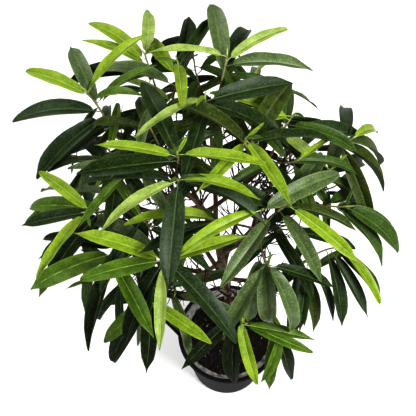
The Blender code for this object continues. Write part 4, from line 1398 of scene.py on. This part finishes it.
def leaf_material(name, colours, pale, roughness, gloss):
    """A mottled skin with paler specks, veins, midrib and margin, and halves that swell a little."""
    material = finish_material(name, colours, SKIN_SCALE, roughness, SKIN_RELIEF, gloss=gloss)
    tree = material.node_tree
    shader = tree.nodes["Principled BSDF"].inputs
    skin = shader["Base Color"].links[0].from_socket
    relief = shader["Normal"].links[0].from_node.inputs["Height"]
    height = relief.links[0].from_socket
    pattern = add_node(tree, "Group", node_tree=VEINS).outputs
    speckle = map_range(tree, height.node.outputs["Fine"], SPECKLE_BAND)
    for mark, share in LEAF_MARKS.items():
        mask = speckle if mark == "Speckle" else pattern[mark]
        skin = blend(tree, calculate(tree, "MULTIPLY", mask, share), skin, pale)
    for part, amount in HEIGHTS.items():
        height = calculate(tree, "MULTIPLY_ADD", pattern[part], amount, height)
    tree.links.new(skin, shader["Base Color"])
    tree.links.new(height, relief)
    return material


def leaf_places(leaf):
    """Where each corner of a blade lies in the vein pattern: its share across and its distance along."""
    along_blade = leaf["length"] * (1 - STALK) * BLADE_STATIONS
    grid = np.stack(np.broadcast_arrays(ACROSS, along_blade[:, None]), axis=-1).reshape(-1, 2)
    return np.concatenate([grid, [(0.0, 0.0), (0.0, leaf["length"])]])


# %% The blades
PALER = {True: (2.8, 0.028), False: (1.6, 0.02)}
UNDER_OLD = ((56, 76, 34), (70, 90, 46)), srgb(96, 116, 66)
UNDER_YOUNG = ((112, 136, 44), (130, 154, 60)), srgb(164, 184, 100)

old_under = leaf_material("old leaf underside", *UNDER_OLD, (0.6, 0.75), 0.2)
young_under = leaf_material("young leaf underside", *UNDER_YOUNG, (0.6, 0.75), 0.2)
for shade, (*colours, gloss) in LEAF_PAINTS.items():
    name, leaves, old = "leaves_" + shade, dealt[shade], shade in OLD_PAINTS
    times, more = PALER[old]
    pale = (*(times * value + more for value in srgb(*colours[1])[:3]), 1.0)
    paint = leaf_material(name, colours, pale, (0.32, 0.50), gloss)
    blades = make_piece(name, [leaf["shape"] for leaf in leaves], [paint, old_under if old else young_under],
                        [UNDERSIDE] * len(leaves), [leaf_places(leaf) for leaf in leaves])
    blades.data.set_sharp_from_angle(angle=CREASE)
    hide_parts(*MASSES)

# %% The ribs and stalks
RIB_PAINTS = {"old": ((72, 92, 46), (92, 110, 62)), "young": ((150, 176, 76), (172, 194, 98))}
ribs = {"old": [], "young": []}
for leaf in [leaf for shoot in shoots for leaf in shoot["leaves"]] + leaflets:
    ribs["old" if leaf["paint"] in OLD_PAINTS else "young"].append(rib_shape(leaf))
for age, shapes in ribs.items():
    rib_paint = finish_material(f"{age} ribs", RIB_PAINTS[age], 200.0, (0.5, 0.7), 0.0001)
    rib = make_piece(f"ribs_{age}", shapes, [rib_paint])
    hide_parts(*MASSES)

# %% [markdown]
# ## Buds
# Each growing tip ends in a slender pointed sheath that holds the next leaf. It is a cone with a
# slight belly, carried along a short curve in the shoot's own way.

# %% The tip buds
BUD_PROFILE = 0.0015 * np.array((0.85, 1.0, 0.95, 0.72, 0.42, 0.12))
BUD_LENGTH = (0.009, 0.016)
BUD_SWING = 0.2
BUD_SINK = 0.001
BUD_GREEN = (150, 168, 92), (176, 186, 118)
bud_shapes = []
for shoot in shoots:
    way = shoot_way(shoot["tip"])
    length = rng.uniform(*BUD_LENGTH)
    end = shoot["tip"] + length * unit(way + rng.uniform(-BUD_SWING, BUD_SWING, 3))
    line = arc(shoot["tip"] - BUD_SINK * way, way, end, way, len(BUD_PROFILE))
    bud_shapes.append(tube_shape(line, BUD_PROFILE, TWIG_SIDES))
bud_paint = finish_material("bud", BUD_GREEN, 200.0, (0.4, 0.6), 0.0001)
buds = make_piece("tip_buds", bud_shapes, [bud_paint])
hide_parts(*MASSES)
